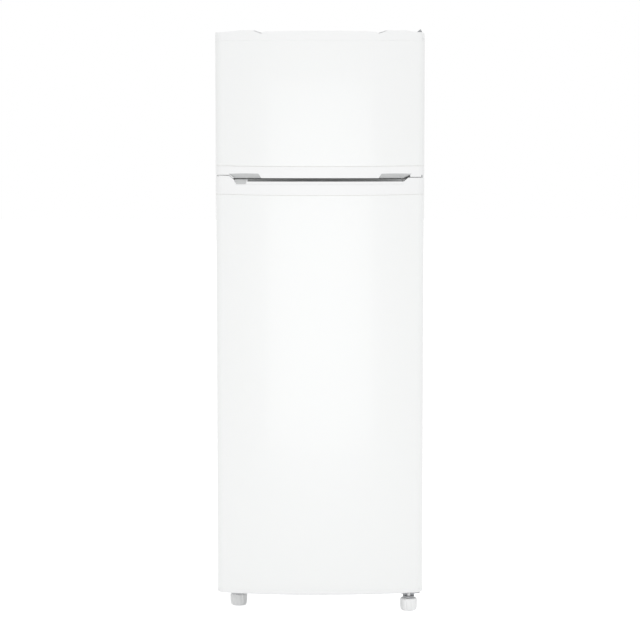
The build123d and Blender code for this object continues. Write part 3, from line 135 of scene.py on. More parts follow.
def stand(
    work: bmesh.types.BMesh, verts: list[bmesh.types.BMVert], turn: Matrix, place: Vector
) -> None:
    """Turns vertices about the origin and then takes them to their place.

    Args:
        work: The worked mesh that they belong to.
        verts: The vertices.
        turn: The turn.
        place: The way they go, in metres.
    """
    bmesh.ops.rotate(work, cent=(0.0, 0.0, 0.0), matrix=turn, verts=verts)
    bmesh.ops.translate(work, vec=place, verts=verts)


def as_mesh(name: str, work: bmesh.types.BMesh) -> bpy.types.Mesh:
    """Makes a named mesh of a worked one.

    Args:
        name: Name of the new mesh.
        work: The worked mesh, which this call frees.

    Returns:
        The new mesh.
    """
    mesh = bpy.data.meshes.new(name)
    work.to_mesh(mesh)
    work.free()
    return mesh


def as_object(name: str, data: bpy.types.ID) -> bpy.types.Object:
    """Makes an object and puts it in the scene.

    Args:
        name: Name of the new object.
        data: Its mesh, lamp or camera.

    Returns:
        The new object.
    """
    thing = bpy.data.objects.new(name, data)
    bpy.context.scene.collection.objects.link(thing)
    return thing


class Grain(Enum):
    """How the surface of a finish is broken up."""

    SMOOTH = "smooth"
    PEEL = "peel"
    MOULDED = "moulded"
    ROLLED = "rolled"
    CELLS = "cells"


GRAIN_STRETCH = {Grain.ROLLED: (1.0, 1.0, 0.04)}
"""Factors on a grain's scale along X, Y and Z, where they aren't 1."""
GRAIN_DETAIL = {Grain.PEEL: 1.0, Grain.MOULDED: 3.0, Grain.ROLLED: 3.0}
"""Layers of noise in a grain."""
TINT_BAND = (0.35, 0.65)
"""Heights of a grain, from 0 to 1, between which a tinted colour goes from dark to full."""


@dataclass(frozen=True)
class Finish:
    """One material of the refrigerator.

    Attributes:
        slot: The record's material slot, which is also the material's name.
        color: Linear base colour.
        roughness: Roughness of the main surface.
        metallic: 1 for bare metal.
        coat: Weight of a clear gloss coat.
        coat_roughness: Roughness of that coat.
        transmission: Share of light that passes through.
        ior: Index of refraction.
        grain: How the surface is broken up.
        grain_scale: Grains per metre.
        grain_depth: Height of the grain in metres.
        grain_strength: How strongly the grain turns the surface.
        tint: How far the colour varies across the surface.
    """

    slot: str
    color: Color
    roughness: float
    metallic: float = 0.0
    coat: float = 0.0
    coat_roughness: float = 0.08
    transmission: float = 0.0
    ior: float = 1.5
    grain: Grain = Grain.SMOOTH
    grain_scale: float = 400.0
    grain_depth: float = 0.00002
    grain_strength: float = 0.6
    tint: float = 0.0

    def material(self) -> bpy.types.Material:
        """Builds the material.

        Returns:
            The new material, named after its slot.
        """
        material = bpy.data.materials.new(self.slot)
        material.use_nodes = True
        tree = material.node_tree
        shader = tree.nodes["Principled BSDF"]
        shader.inputs["Base Color"].default_value = (*self.color, 1.0)
        shader.inputs["Roughness"].default_value = self.roughness
        shader.inputs["Metallic"].default_value = self.metallic
        shader.inputs["Coat Weight"].default_value = self.coat
        shader.inputs["Coat Roughness"].default_value = self.coat_roughness
        shader.inputs["Transmission Weight"].default_value = self.transmission
        shader.inputs["IOR"].default_value = self.ior
        if self.grain is not Grain.SMOOTH:
            self._grain(tree, shader)
        return material

    def _grain(self, tree: bpy.types.NodeTree, shader: bpy.types.Node) -> None:
        """Adds the grain and the tint that goes with it.

        Args:
            tree: The material's node tree.
            shader: The main shader.
        """
        place = tree.nodes.new("ShaderNodeTexCoord")
        mapping = tree.nodes.new("ShaderNodeMapping")
        stretch = GRAIN_STRETCH.get(self.grain, (1.0, 1.0, 1.0))
        mapping.inputs["Scale"].default_value = tuple(self.grain_scale * way for way in stretch)
        tree.links.new(place.outputs["Object"], mapping.inputs["Vector"])
        if self.grain is Grain.CELLS:
            pattern = tree.nodes.new("ShaderNodeTexVoronoi")
            height = pattern.outputs["Distance"]
        else:
            pattern = tree.nodes.new("ShaderNodeTexNoise")
            pattern.inputs["Detail"].default_value = GRAIN_DETAIL[self.grain]
            height = pattern.outputs["Fac"]
        pattern.inputs["Scale"].default_value = 1.0
        tree.links.new(mapping.outputs["Vector"], pattern.inputs["Vector"])
        bump = tree.nodes.new("ShaderNodeBump")
        bump.inputs["Strength"].default_value = self.grain_strength
        bump.inputs["Distance"].default_value = self.grain_depth
        tree.links.new(height, bump.inputs["Height"])
        tree.links.new(bump.outputs["Normal"], shader.inputs["Normal"])
        if self.tint > 0.0:
            ramp = tree.nodes.new("ShaderNodeValToRGB")
            dark = tuple(share * (1.0 - self.tint) for share in self.color)
            for stop, position, color in zip(
                ramp.color_ramp.elements, TINT_BAND, (dark, self.color), strict=True
            ):
                stop.position = position
                stop.color = (*color, 1.0)
            tree.links.new(height, ramp.inputs["Fac"])
            tree.links.new(ramp.outputs["Color"], shader.inputs["Base Color"])


FINISHES = (
    Finish("enamel", (0.935, 0.945, 0.94), 0.3, coat=0.3, grain=Grain.PEEL, grain_scale=260.0),
    Finish("white_plastic", (0.935, 0.94, 0.94), 0.36, grain=Grain.MOULDED, grain_depth=0.00001),
    Finish("liner_plastic", (0.88, 0.89, 0.89), 0.36, grain=Grain.MOULDED, grain_depth=0.00001),
    Finish("grip_grey", (0.62, 0.63, 0.63), 0.42, grain=Grain.MOULDED, grain_scale=900.0),
    Finish(
        "foam",
        (0.87, 0.78, 0.52),
        0.9,
        grain=Grain.CELLS,
        grain_scale=700.0,
        grain_depth=0.0003,
        tint=0.15,
    ),
    Finish("seal", (0.83, 0.84, 0.84), 0.55, grain=Grain.MOULDED, grain_scale=700.0),
    Finish("zinc_steel", (0.32, 0.325, 0.335), 0.36, metallic=1.0, grain=Grain.MOULDED, tint=0.1),
    Finish(
        "galvanised",
        (0.62, 0.63, 0.64),
        0.42,
        metallic=1.0,
        grain=Grain.CELLS,
        grain_scale=150.0,
        tint=0.06,
    ),
    Finish(
        "black_enamel", (0.02, 0.02, 0.021), 0.35, coat=0.2, grain=Grain.PEEL, grain_scale=500.0
    ),
    Finish("copper", (0.78, 0.42, 0.28), 0.32, metallic=1.0, grain=Grain.MOULDED, tint=0.1),
    Finish("black_plastic", (0.035, 0.035, 0.036), 0.55, grain=Grain.MOULDED, grain_scale=1200.0),
    Finish("bush_rubber", (0.025, 0.025, 0.025), 0.8, grain=Grain.MOULDED),
    Finish("foot_plastic", (0.92, 0.925, 0.925), 0.36, grain=Grain.MOULDED),
    Finish("clear_plastic", (0.95, 0.98, 1.0), 0.06, transmission=0.92, ior=1.49),
    Finish("shelf_glass", (0.90, 0.98, 0.96), 0.02, transmission=0.97, ior=1.5),
    Finish("lamp_glass", (1.0, 0.98, 0.94), 0.12, transmission=0.8, ior=1.5),
    Finish(
        "cold_aluminium",
        (0.88, 0.89, 0.90),
        0.35,
        metallic=1.0,
        grain=Grain.ROLLED,
        grain_scale=900.0,
    ),
)


@dataclass
class Workshop:
    """Copies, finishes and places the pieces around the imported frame.

    Attributes:
        materials: The finished materials by slot.
        body_of: The moving body of each node.
        slot_of: The material slot of each node.
        pieces: The body of each finished piece, in the order in which they were made.
    """

    frame: dict[str, Any]
    materials: dict[str, bpy.types.Material] = field(init=False)
    body_of: dict[str, str] = field(init=False)
    slot_of: dict[str, str] = field(init=False)
    pieces: dict[str, str] = field(default_factory=dict)

    def __post_init__(self) -> None:
        """Reads the record and builds every finish."""
        record = self.frame["record"]
        bodies = record["behaviour"]["bodies"]
        self.body_of = {node: body for body, nodes in bodies.items() for node in nodes}
        self.slot_of = {row["node"]: row["material_slot"] for row in record["subparts"]}
        self.materials = {finish.slot: finish.material() for finish in FINISHES}

    def paint(self, node: str) -> None:
        """Gives a node of the frame, as it is, the finish of its slot.

        Args:
            node: The node.
        """
        mesh = self.frame["nodes"][node].data
        mesh.materials.clear()
        mesh.materials.append(self.materials[self.slot_of[node]])
        self.pieces[node] = self.body_of[node]

    def _welded(self, node: str) -> bmesh.types.BMesh:
        """Copies a node's mesh with its vertices merged and its flat faces joined.

        Args:
            node: The node.

        Returns:
            The copy.
        """
        work = bmesh.new()
        work.from_mesh(self.frame["nodes"][node].data)
        bmesh.ops.remove_doubles(work, verts=work.verts[:], dist=WELD)
        bmesh.ops.dissolve_limit(work, angle_limit=FLAT, verts=work.verts[:], edges=work.edges[:])
        return work

    def refine(
        self,
        node: str,
        edge: float = 0.5,
        segments: int = 2,
        turn: float = 28.0,
        reshape: Callable[[bmesh.types.BMesh], None] | None = None,
    ) -> bpy.types.Object:
        """Puts a welded copy with eased edges in the place of a node.

        Args:
            node: The node that the copy stands for.
            edge: Width of its eased edges in millimetres.
            segments: Facets across an eased edge.
            turn: Angle in degrees from which two faces meet in an edge.
            reshape: What is done to the copy before its edges are eased.

        Returns:
            The finished copy.
        """
        work = self._welded(node)
        if reshape is not None:
            reshape(work)
        piece = self.piece(f"{node}_finished", work, self.body_of[node], self.slot_of[node], turn)
        if edge > 0.0:
            bevel = piece.modifiers.new("eased_edges", "BEVEL")
            bevel.width = edge * MM
            bevel.segments = segments
            bevel.limit_method = "ANGLE"
            bevel.angle_limit = math.radians(turn)
            bevel.harden_normals = True
        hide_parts(node)
        return piece

    def refine_all(self, widths: dict[str, float]) -> None:
        """Refines each node with a width of its own for its eased edges, in millimetres."""
        for node, width in widths.items():
            self.refine(node, edge=width)

    def facing(
        self,
        name: str,
        node: str,
        slot: str,
        chosen: Chosen,
        cuts: tuple[Cut, ...] = (),
        slope: float = 0.5,
        lift: float = 0.3,
    ) -> bpy.types.Object:
        """Lays a thin facing over some faces of a node; the grip's grey facings made with it are
        partly painted shade.

        Args:
            name: Name of the new piece.
            node: The node that carries it.
            slot: The material slot of its finish.
            chosen: Tells whether a face is covered.
            cuts: The planes that trim it.
            slope: Width of its sloping rim in millimetres.
            lift: How far it stands above the faces, in millimetres.

        Returns:
            The facing.
        """
        work = self._some_faces(node, chosen, cuts)
        covered = work.faces[:]
        twin = bmesh.ops.duplicate(work, geom=whole(work))["geom"]
        bmesh.ops.reverse_faces(work, faces=only(bmesh.types.BMFace, twin))
        bmesh.ops.inset_region(
            work,
            faces=covered,
            thickness=slope * MM,
            depth=lift * MM,
            use_even_offset=True,
            use_boundary=True,
        )
        bmesh.ops.remove_doubles(work, verts=work.verts[:], dist=WELD)
        return self.piece(name, work, self.body_of[node], slot, turn=20.0)

    def apron(
        self, name: str, node: str, depth: float, chosen: Chosen, cut: Cut
    ) -> bpy.types.Object:
        """Carries a wall of a node further down.

        Args:
            name: Name of the new piece.
            node: The node whose wall it is.
            depth: How far it comes down, in millimetres.
            chosen: Tells whether a face belongs to the wall's foot.
            cut: The plane that trims it.

        Returns:
            The new wall.
        """
        work = self._some_faces(node, chosen, (cut,))
        grown = bmesh.ops.extrude_face_region(work, geom=work.faces[:], use_keep_orig=True)
        foot = only(bmesh.types.BMVert, grown["geom"])
        bmesh.ops.translate(work, vec=(0.0, 0.0, -depth * MM), verts=foot)
        bmesh.ops.recalc_face_normals(work, faces=work.faces[:])
        return self.piece(name, work, self.body_of[node], self.slot_of[node])

    def _some_faces(self, node: str, chosen: Chosen, cuts: tuple[Cut, ...]) -> bmesh.types.BMesh:
        """Copies some faces of a node.

        Args:
            node: The node.
            chosen: Tells whether a face is copied.
            cuts: The planes that trim the copy.

        Returns:
            The trimmed copy.
        """
        work = self._welded(node)
        rest = [face for face in work.faces if not chosen(face)]
        bmesh.ops.delete(work, geom=rest, context="FACES")
        for place, way in cuts:
            bmesh.ops.bisect_plane(
                work,
                geom=whole(work),
                plane_co=Vector(place) * MM,
                plane_no=way,
                clear_outer=True,
            )
        return work

    def piece(
        self, name: str, work: bmesh.types.BMesh, body: str, slot: str, turn: float = 30.0
    ) -> bpy.types.Object:
        """Makes a finished object of a worked mesh and hangs it on a body.

        Args:
            name: Name of the new piece.
            work: Its mesh, which this call frees.
            body: The body it moves with.
            slot: The material slot of its finish.
            turn: Angle in degrees from which two faces meet in an edge.

        Returns:
            The new object.
        """
        mesh = as_mesh(name, work)
        for layer in ("custom_normal", "sharp_face", "sharp_edge"):
            if layer in mesh.attributes:
                mesh.attributes.remove(mesh.attributes[layer])
        mesh.shade_smooth()
        mesh.set_sharp_from_angle(angle=math.radians(turn))
        mesh.materials.clear()
        mesh.materials.append(self.materials[slot])
        thing = as_object(name, mesh)
        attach(thing, body)
        self.pieces[name] = body
        return thing


@dataclass
class Panels:
    """The cabinet's sheets, liners and foam.

    Attributes:
        edge: Width of their eased edges in millimetres.
        eased: The nodes that get them.
    """

    edge: float = 0.4
    eased: tuple[str, ...] = (
        "side_panels",
        "top_panel",
        "back_panel",
        "base_panel",
        "cross_rails",
        "fridge_liner",
        "freezer_liner",
    )

    def build(self, shop: Workshop) -> None:
        """Finishes the panels.

        Args:
            shop: The workshop.
        """
        for node in self.eased:
            shop.refine(node, edge=self.edge)
        shop.paint("cabinet_foam")


@dataclass
class Fittings:
    """Hinges, feet, rollers and the cooling circuit.

    Attributes:
        eased: Width of the eased edges of each node, in millimetres.
        smooth: The nodes of round tube, which have no edges to ease.
        cover_foot: Level of the top hinge cover's lower rim, in millimetres.
        rim_slack: How far the rim's faces may be from that level.
        rim_slant: Least share of a rim face's normal that points down.
        apron_depth: How far the cover's front comes down below that rim.
        apron_back: The plane that ends it towards the back.
    """

    eased: dict[str, float] = field(
        default_factory=lambda: {
            "top_hinge": 0.4,
            "top_hinge_cover": 0.8,
            "middle_hinge": 0.4,
            "bottom_hinge": 0.4,
            "left_foot_bracket": 0.4,
            "left_foot": 0.8,
            "right_foot": 0.8,
            "roller_brackets": 0.4,
            "roller_left": 0.4,
            "roller_right": 0.4,
            "condenser_clips": 0.4,
            "compressor_plate": 0.3,
            "compressor": 0.4,
            "compressor_bushes": 0.5,
            "terminal_box": 0.5,
            "drip_tray": 0.4,
            "cord_gland": 0.4,
        }
    )
    smooth: tuple[str, ...] = ("condenser", "refrigerant_pipes", "drain_tube")
    cover_foot: float = 1664.0
    rim_slack: float = 0.1
    rim_slant: float = 0.9
    apron_depth: float = 1.9
    apron_back: Cut = ((0.0, -236.0, 0.0), TO_BACK)

    def build(self, shop: Workshop) -> None:
        """Finishes the fittings.

        Args:
            shop: The workshop.
        """
        shop.refine_all(self.eased)
        for node in self.smooth:
            shop.refine(node, edge=0.0)
        shop.apron(
            "cover_apron", "top_hinge_cover", self.apron_depth, self._at_foot, self.apron_back
        )

    def _at_foot(self, face: bmesh.types.BMFace) -> bool:
        """Tells whether a face is the hinge cover's lower rim."""
        off = abs(face.calc_center_median().z / MM - self.cover_foot)
        return face.normal.z < -self.rim_slant and off < self.rim_slack


@dataclass(frozen=True)
class Screw:
    """The place of one screw.

    Attributes:
        seat: Where its head sits, in millimetres.
        way: The way its head points.
        grip: How far its shank reaches in, in millimetres.
    """

    seat: Point
    way: Point
    grip: float


@dataclass
class Screws:
    """The pan-head screws of the hinges and foot brackets, each with a cross recess.

    Attributes:
        top_hinge: The screws of the top hinge.
        middle_hinge: The screws of the middle hinge.
        bottom_hinge: The screws of the bottom hinge.
        foot_bracket: The screws of the left foot's bracket.
        face: Radius of the head's flat face in millimetres.
        arm: Half the width of the recess's arms.
        reach: Half the length of its arms.
        corner: How far the flat face's corners between the arms stand out, as a share of the reach.
        recess: Depth of the recess.
        taper: How far the recess narrows on each side on its way down.
        dome: Radius and height of each ring of the head, from its face down to its seat.
        height: Height of the head's face above its seat.
        shank: Radius of the shank.
        cells: Cells along each side of the grid that the flat face begins as.
        rim_from: Share of the grid's half width past which its rim lies.
        arm_from: Share of it past which the ends of the arms lie.
        slack: How far off its axis the middle of an arm's cell may be, in millimetres.
    """

    top_hinge: tuple[Screw, ...] = (
        Screw((245.0, -205.0, 1667.0), UP, 3.0),
        Screw((281.0, -205.0, 1667.0), UP, 3.0),
        Screw((262.0, -180.0, 1667.0), UP, 3.0),
    )
    middle_hinge: tuple[Screw, ...] = (
        Screw((244.0, -235.5, 1275.0), TO_FRONT, 2.5),
        Screw((255.0, -235.5, 1275.0), TO_FRONT, 2.5),
    )
    bottom_hinge: tuple[Screw, ...] = (
        Screw((244.0, -200.0, 47.0), DOWN, 3.0),
        Screw((284.0, -200.0, 47.0), DOWN, 3.0),
    )
    foot_bracket: tuple[Screw, ...] = (
        Screw((-256.0, -192.0, 47.0), DOWN, 3.0),
        Screw((-222.0, -192.0, 47.0), DOWN, 3.0),
    )
    face: float = 3.2
    arm: float = 0.5
    reach: float = 2.2
    corner: float = 0.7
    recess: float = 1.3
    taper: float = 0.12
    dome: tuple[tuple[float, float], ...] = (
        (3.9, 2.6),
        (4.4, 2.1),
        (4.7, 1.4),
        (4.8, 0.6),
        (4.8, 0.0),
    )
    height: float = 2.8
    shank: float = 2.5
    cells: int = 5
    rim_from: float = 0.9
    arm_from: float = 0.4
    slack: float = 0.1

    def build(self, shop: Workshop) -> None:
        """Makes the screws in the place of their node.

        Args:
            shop: The workshop.
        """
        work = bmesh.new()
        for screw in self.top_hinge + self.middle_hinge + self.bottom_hinge + self.foot_bracket:
            pattern = self._pattern(screw.grip)
            fresh = added(work, pattern)
            aim = Vector(screw.way).to_track_quat("Z", "Y").to_matrix()
            stand(work, fresh, aim, Vector(screw.seat) * MM)
            bpy.data.meshes.remove(pattern)
        screws = shop.piece("screw_set", work, "cabinet", shop.slot_of["screws"], turn=32.0)
        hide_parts("screws")

    def _pattern(self, grip: float) -> bpy.types.Mesh:
        """Makes one screw that stands on the origin and points up.

        Args:
            grip: How far its shank reaches down, in millimetres.

        Returns:
            The screw's mesh.
        """
        work = bmesh.new()
        bmesh.ops.create_grid(work, x_segments=self.cells, y_segments=self.cells, size=1.0)
        for vert in work.verts:
            vert.co = self._on_face(vert.co)
        arms = [face for face in work.faces if self._on_cross(face)]
        bmesh.ops.inset_region(work, faces=arms, thickness=self.taper * MM, depth=-self.recess * MM)
        rim = [edge for edge in work.edges if edge.is_boundary]
        for radius, level in (*self.dome, (self.shank, 0.0), (self.shank, -grip)):
            grown = bmesh.ops.extrude_edge_only(work, edges=rim)
            rim = only(bmesh.types.BMEdge, grown["geom"])
            for vert in {vert for edge in rim for vert in edge.verts}:
                ring = vert.co.xy.normalized() * radius * MM
                vert.co = (ring.x, ring.y, level * MM)
        bmesh.ops.contextual_create(work, geom=rim)
        bmesh.ops.recalc_face_normals(work, faces=work.faces[:])
        return as_mesh("screw_pattern", work)

    def _on_face(self, spot: Vector) -> Vector:
        """Finds where a point of the square grid goes on the head's flat face.

        Args:
            spot: The point, which is at most 1 from the middle along each side.

        Returns:
            Its place on the round face or on the cross in it.
        """
        if max(abs(spot.x), abs(spot.y)) > self.rim_from:
            ring = spot.xy.normalized() * self.face
            return Vector((ring.x, ring.y, self.height)) * MM
        beyond = [abs(step) > self.arm_from for step in spot.xy]
        far = self.reach * (self.corner if all(beyond) else 1.0)
        across, along = (
            math.copysign(far if past else self.arm, step)
            for step, past in zip(spot.xy, beyond, strict=True)
        )
        return Vector((across, along, self.height)) * MM

    def _on_cross(self, face: bmesh.types.BMFace) -> bool:
        """Tells whether a face of the head lies on the recess's cross."""
        offsets = [abs(step) / MM for step in face.calc_center_median().xy]
        return min(offsets) < self.slack and max(offsets) < self.reach


@dataclass
class Dial:
    """Numbers and ticks on the lamp housing around the thermostat's knob.

    Attributes:
        middle: Where the knob's axis meets the housing's front, in millimetres.
        numbers: How many steps the dial has after 0.
        sweep: Angle from 0 to the last number, in degrees, clockwise from the top.
        tick_radius: Where the ticks begin, in millimetres from the axis.
        tick: Width and length of a tick in millimetres.
        text_radius: Distance of a number's middle from the axis.
        text_size: Size of the numbers.
        text_facets: Stretches in each curve of a number's outline.
        raised: How far the marks stand out.
    """

    middle: Point = (-84.0, -96.0, 1219.0)
    numbers: int = 7
    sweep: float = 270.0
    tick_radius: float = 15.4
    tick: tuple[float, float] = (0.5, 0.9)
    text_radius: float = 18.2
    text_size: float = 3.6
    text_facets: int = 3
    raised: float = 0.08

    def build(self, shop: Workshop) -> None:
        """Puts the marks on the housing.

        Args:
            shop: The workshop.
        """
        work = bmesh.new()
        for step in range(self.numbers + 1):
            angle = math.radians(step * self.sweep / self.numbers)
            out = Vector((math.sin(angle), 0.0, math.cos(angle)))
            self._tick(work, out, angle)
            self._number(work, str(step), out)
        shop.piece("dial_marks", work, "cabinet", "black_plastic")

    def _tick(self, work: bmesh.types.BMesh, out: Vector, angle: float) -> None:
        """Adds one tick.

        Args:
            work: The mesh that takes it.
            out: The way out from the axis.
            angle: The tick's angle from the top, clockwise.
        """
        width, length = self.tick
        foot = unit_square(work)
        grown = bmesh.ops.extrude_face_region(work, geom=faces_of(foot), use_keep_orig=True)
        top = only(bmesh.types.BMVert, grown["geom"])
        bmesh.ops.translate(work, vec=UP, verts=top)
        bar = foot + top
        bmesh.ops.scale(work, vec=(width * MM, length * MM, 2 * self.raised * MM), verts=bar)
        bmesh.ops.translate(work, vec=(0.0, 0.0, -self.raised * MM), verts=bar)
        turn = Matrix.Rotation(angle, 3, "Y") @ FACING_FRONT
        place = Vector(self.middle) + out * (self.tick_radius + length / 2)
        stand(work, bar, turn, place * MM)
        bmesh.ops.recalc_face_normals(work, faces=faces_of(bar))

    def _number(self, work: bmesh.types.BMesh, text: str, out: Vector) -> None:
        """Adds one number.

        Args:
            work: The mesh that takes it.
            text: The number.
            out: The way out from the axis.
        """
        curve = bpy.data.curves.new("dial_number", "FONT")
        curve.body = text
        curve.size = self.text_size * MM
        curve.align_x = "CENTER"
        curve.align_y = "CENTER"
        curve.extrude = self.raised * MM
        curve.resolution_u = self.text_facets
        holder = bpy.data.objects.new("dial_number", curve)
        fresh = added(work, holder.to_mesh())
        place = Vector(self.middle) + out * self.text_radius
        stand(work, fresh, FACING_FRONT, place * MM)
        holder.to_mesh_clear()
        bpy.data.objects.remove(holder)
        bpy.data.curves.remove(curve)


@dataclass
class Grip:
    """The bowed back of the finger recess between the doors, and its grey facings, which stand for
    the grip's grey plastic and partly are painted shade on the scoops and the ramp.

    Attributes:
        scoops: Lowest and highest level of the freezer door's finger scoops, in millimetres.
        ramp: Lowest and highest level of the slanted floor at the recess's free end.
        ramp_ends: The planes that slant the ends of its facing.
        slant: Least share of a slanted face's normal that points to the front, up or down.
        least: Least area of a face that gets a facing, in square millimetres.
        back: Where the recess's back wall stands along Y, in millimetres.
        back_slack: How far a point may be from there and still belong to the wall.
        back_ends: Where that wall begins and ends along X.
        bow: How far its ends come forward.
        facets: Flat stretches of the bowed wall.
    """

    scoops: tuple[float, float] = (1263.0, 1277.5)
    ramp: tuple[float, float] = (1246.0, 1262.0)
    ramp_ends: tuple[Cut, ...] = (
        ((-240.5, 0.0, 1247.2), (-0.87, 0.0, -0.49)),
        ((-213.5, 0.0, 1247.2), (0.96, 0.0, -0.28)),
    )
    slant: float = 0.3
    least: float = 100.0
    back: float = -274.0
    back_slack: float = 0.05
    back_ends: tuple[float, float] = (-210.0, 234.0)
    bow: float = 12.0
    facets: int = 32

    def build(self, shop: Workshop) -> None:
        """Bows the back wall and lays the grey facings, which are partly painted shade.

        Args:
            shop: The workshop.
        """
        shop.refine("grip_insert", reshape=self._bow_back)
        # the grey facings on the white scoops and ramp are partly painted shade: the grey of the
        # down-facing scoops and of the ramp under the overhanging bar
        shop.facing("scoop_shade_facings", "freezer_door_bottom_cap", "grip_grey", self._in_scoop)
        shop.facing(
            "ramp_shade_facing", "fridge_door_top_cap", "grip_grey", self._on_ramp, self.ramp_ends
        )

    def _bow_back(self, work: bmesh.types.BMesh) -> None:
        """Bends the recess's back wall, so that it comes forward towards both ends.

        Args:
            work: The worked mesh of the recess.
        """
        low, high = self.back_ends
        for step in range(1, self.facets):
            bmesh.ops.bisect_plane(
                work,
                geom=whole(work),
                plane_co=((low + (high - low) * step / self.facets) * MM, 0.0, 0.0),
                plane_no=(1.0, 0.0, 0.0),
            )
        for vert in work.verts:
            if abs(vert.co.y / MM - self.back) < self.back_slack:
                out = (2.0 * vert.co.x / MM - low - high) / (high - low)
                vert.co.y -= self.bow * out * out * MM

    def _in_scoop(self, face: bmesh.types.BMFace) -> bool:
        """Tells whether a face is a scoop's slanted face."""
        return face.normal.z < -self.slant and self._slants(face, self.scoops)

    def _on_ramp(self, face: bmesh.types.BMFace) -> bool:
        """Tells whether a face is the ramp's slanted face."""
        return face.normal.z > self.slant and self._slants(face, self.ramp)

    def _slants(self, face: bmesh.types.BMFace, levels: tuple[float, float]) -> bool:
        """Tells whether a face is large, leans to the front and lies between two levels.

        Args:
            face: The face.
            levels: The lower and the higher level in millimetres.

        Returns:
            Whether it does.
        """
        low, high = levels
        between = low < face.calc_center_median().z / MM < high
        return between and face.normal.y < -self.slant and face.calc_area() > self.least * MM * MM


@dataclass
class Interior:
    """Shelves, drawer, lamp, thermostat and cold plates.

    Attributes:
        eased: Width of the eased edges of each node, in millimetres.
    """

    eased: dict[str, float] = field(
        default_factory=lambda: {
            "cold_plate": 0.4,
            "freezer_evaporator": 0.4,
            "glass_shelves": 0.5,
            "shelf_trims": 0.6,
            "crisper_drawer": 0.8,
            "thermostat_housing": 0.6,
            "lamp_lens": 0.3,
            "lamp_bulb": 0.5,
            "thermostat_knob": 0.5,
            "lamp_switch": 0.5,
            "lamp_switch_plunger": 0.3,
        }
    )

    def build(self, shop: Workshop) -> None:
        """Finishes the interior."""
        shop.refine_all(self.eased)


@dataclass
class Seal:
    """The mitred bellows seal round the back of a door.

    Attributes:
        profile: Steps inwards and towards the cabinet, in millimetres, from the outer foot to
            the inner one.
    """

    profile: tuple[tuple[float, float], ...] = (
        (0.4, 1.2),
        (0.8, 0.6),
        (2.2, 0.2),
        (0.5, -0.7),
        (0.6, 0.0),
        (0.4, 1.7),
        (-0.6, 1.3),
        (-0.4, 1.4),
        (0.5, 1.5),
        (1.2, 1.8),
        (1.4, 1.3),
        (1.2, 0.7),
        (1.6, 0.4),
        (3.0, 0.1),
        (3.0, -0.1),
        (1.4, -0.5),
        (0.8, -1.1),
        (0.3, -1.9),
        (0.2, -4.9),
        (0.6, -0.9),
        (0.5, -0.9),
        (0.2, -1.2),
    )

    def build(self, shop: Workshop, node: str) -> None:
        """Makes the seal in the place of its node.

        Args:
            shop: The workshop.
            node: The seal's node in the frame.
        """
        low, high = (Vector(corner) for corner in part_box(node))
        middle = (low + high) / 2
        work = bmesh.new()
        corners = unit_square(work)
        bmesh.ops.scale(work, vec=(high.x - low.x, high.z - low.z, 1.0), verts=corners)
        stand(work, corners, FACING_BACK, Vector((middle.x, low.y, middle.z)))
        (face,) = faces_of(corners)
        face.normal_update()
        for inset, rise in self.profile:
            bmesh.ops.inset_region(
                work,
                faces=[face],
                thickness=inset * MM,
                depth=rise * MM,
                use_even_offset=True,
                use_boundary=True,
            )
        bmesh.ops.delete(work, geom=[face], context="FACES_ONLY")
        open_edges = [edge for edge in work.edges if edge.is_boundary]
        bmesh.ops.bridge_loops(work, edges=open_edges)
        bmesh.ops.recalc_face_normals(work, faces=work.faces[:])
        seal = shop.piece(
            f"{node}_bellows", work, shop.body_of[node], shop.slot_of[node], turn=48.0
        )
        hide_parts(node)


@dataclass
class Door:
    """One door with its skin, caps, liner, seal and bins.

    Attributes:
        name: The door's body, which the names of its foam and seal begin with.
        eased: Width of the eased edges of each node, in millimetres.
    """

    name: str
    eased: dict[str, float]

    def build(self, shop: Workshop) -> None:
        """Finishes the door.

        Args:
            shop: The workshop.
        """
        shop.refine_all(self.eased)
        shop.paint(f"{self.name}_foam")
        Seal().build(shop, f"{self.name}_gasket")


FRIDGE_DOOR = Door(
    "fridge_door",
    {
        "fridge_door_skin": 0.3,
        "fridge_door_liner": 0.6,
        "fridge_door_bottom_cap": 0.4,
        "fridge_door_top_cap": 0.6,
        "fridge_door_bushes": 0.3,
        "door_bins": 0.5,
        "bottle_bin": 0.5,
        "dairy_bin": 0.5,
        "dairy_flap": 0.5,
    },
)
FREEZER_DOOR = Door(
    "freezer_door",
    {
        "freezer_door_skin": 0.3,
        "freezer_door_liner": 0.6,
        "freezer_door_bottom_cap": 0.6,
        "freezer_door_top_cap": 0.6,
        "freezer_door_bushes": 0.3,
        "freezer_door_bins": 0.5,
    },
)


@dataclass
class Softbox:
    """A large soft lamp that faces the refrigerator.

    Attributes:
        name: Its name.
        place: Where its middle hangs.
        aim: The place it faces.
        size: Its width and height.
        power: Its power in watts.
    """

    name: str
    place: Point
    aim: Point
    size: tuple[float, float]
    power: float

    def build(self) -> None:
        """Hangs the lamp."""
        lamp = bpy.data.lights.new(self.name, "AREA")
        lamp.shape = "RECTANGLE"
        lamp.size, lamp.size_y = self.size
        lamp.energy = self.power
        holder = as_object(self.name, lamp)
        holder.location = self.place
        direction = Vector(self.aim) - Vector(self.place)
        holder.rotation_euler = direction.to_track_quat("-Z", "Y").to_euler()


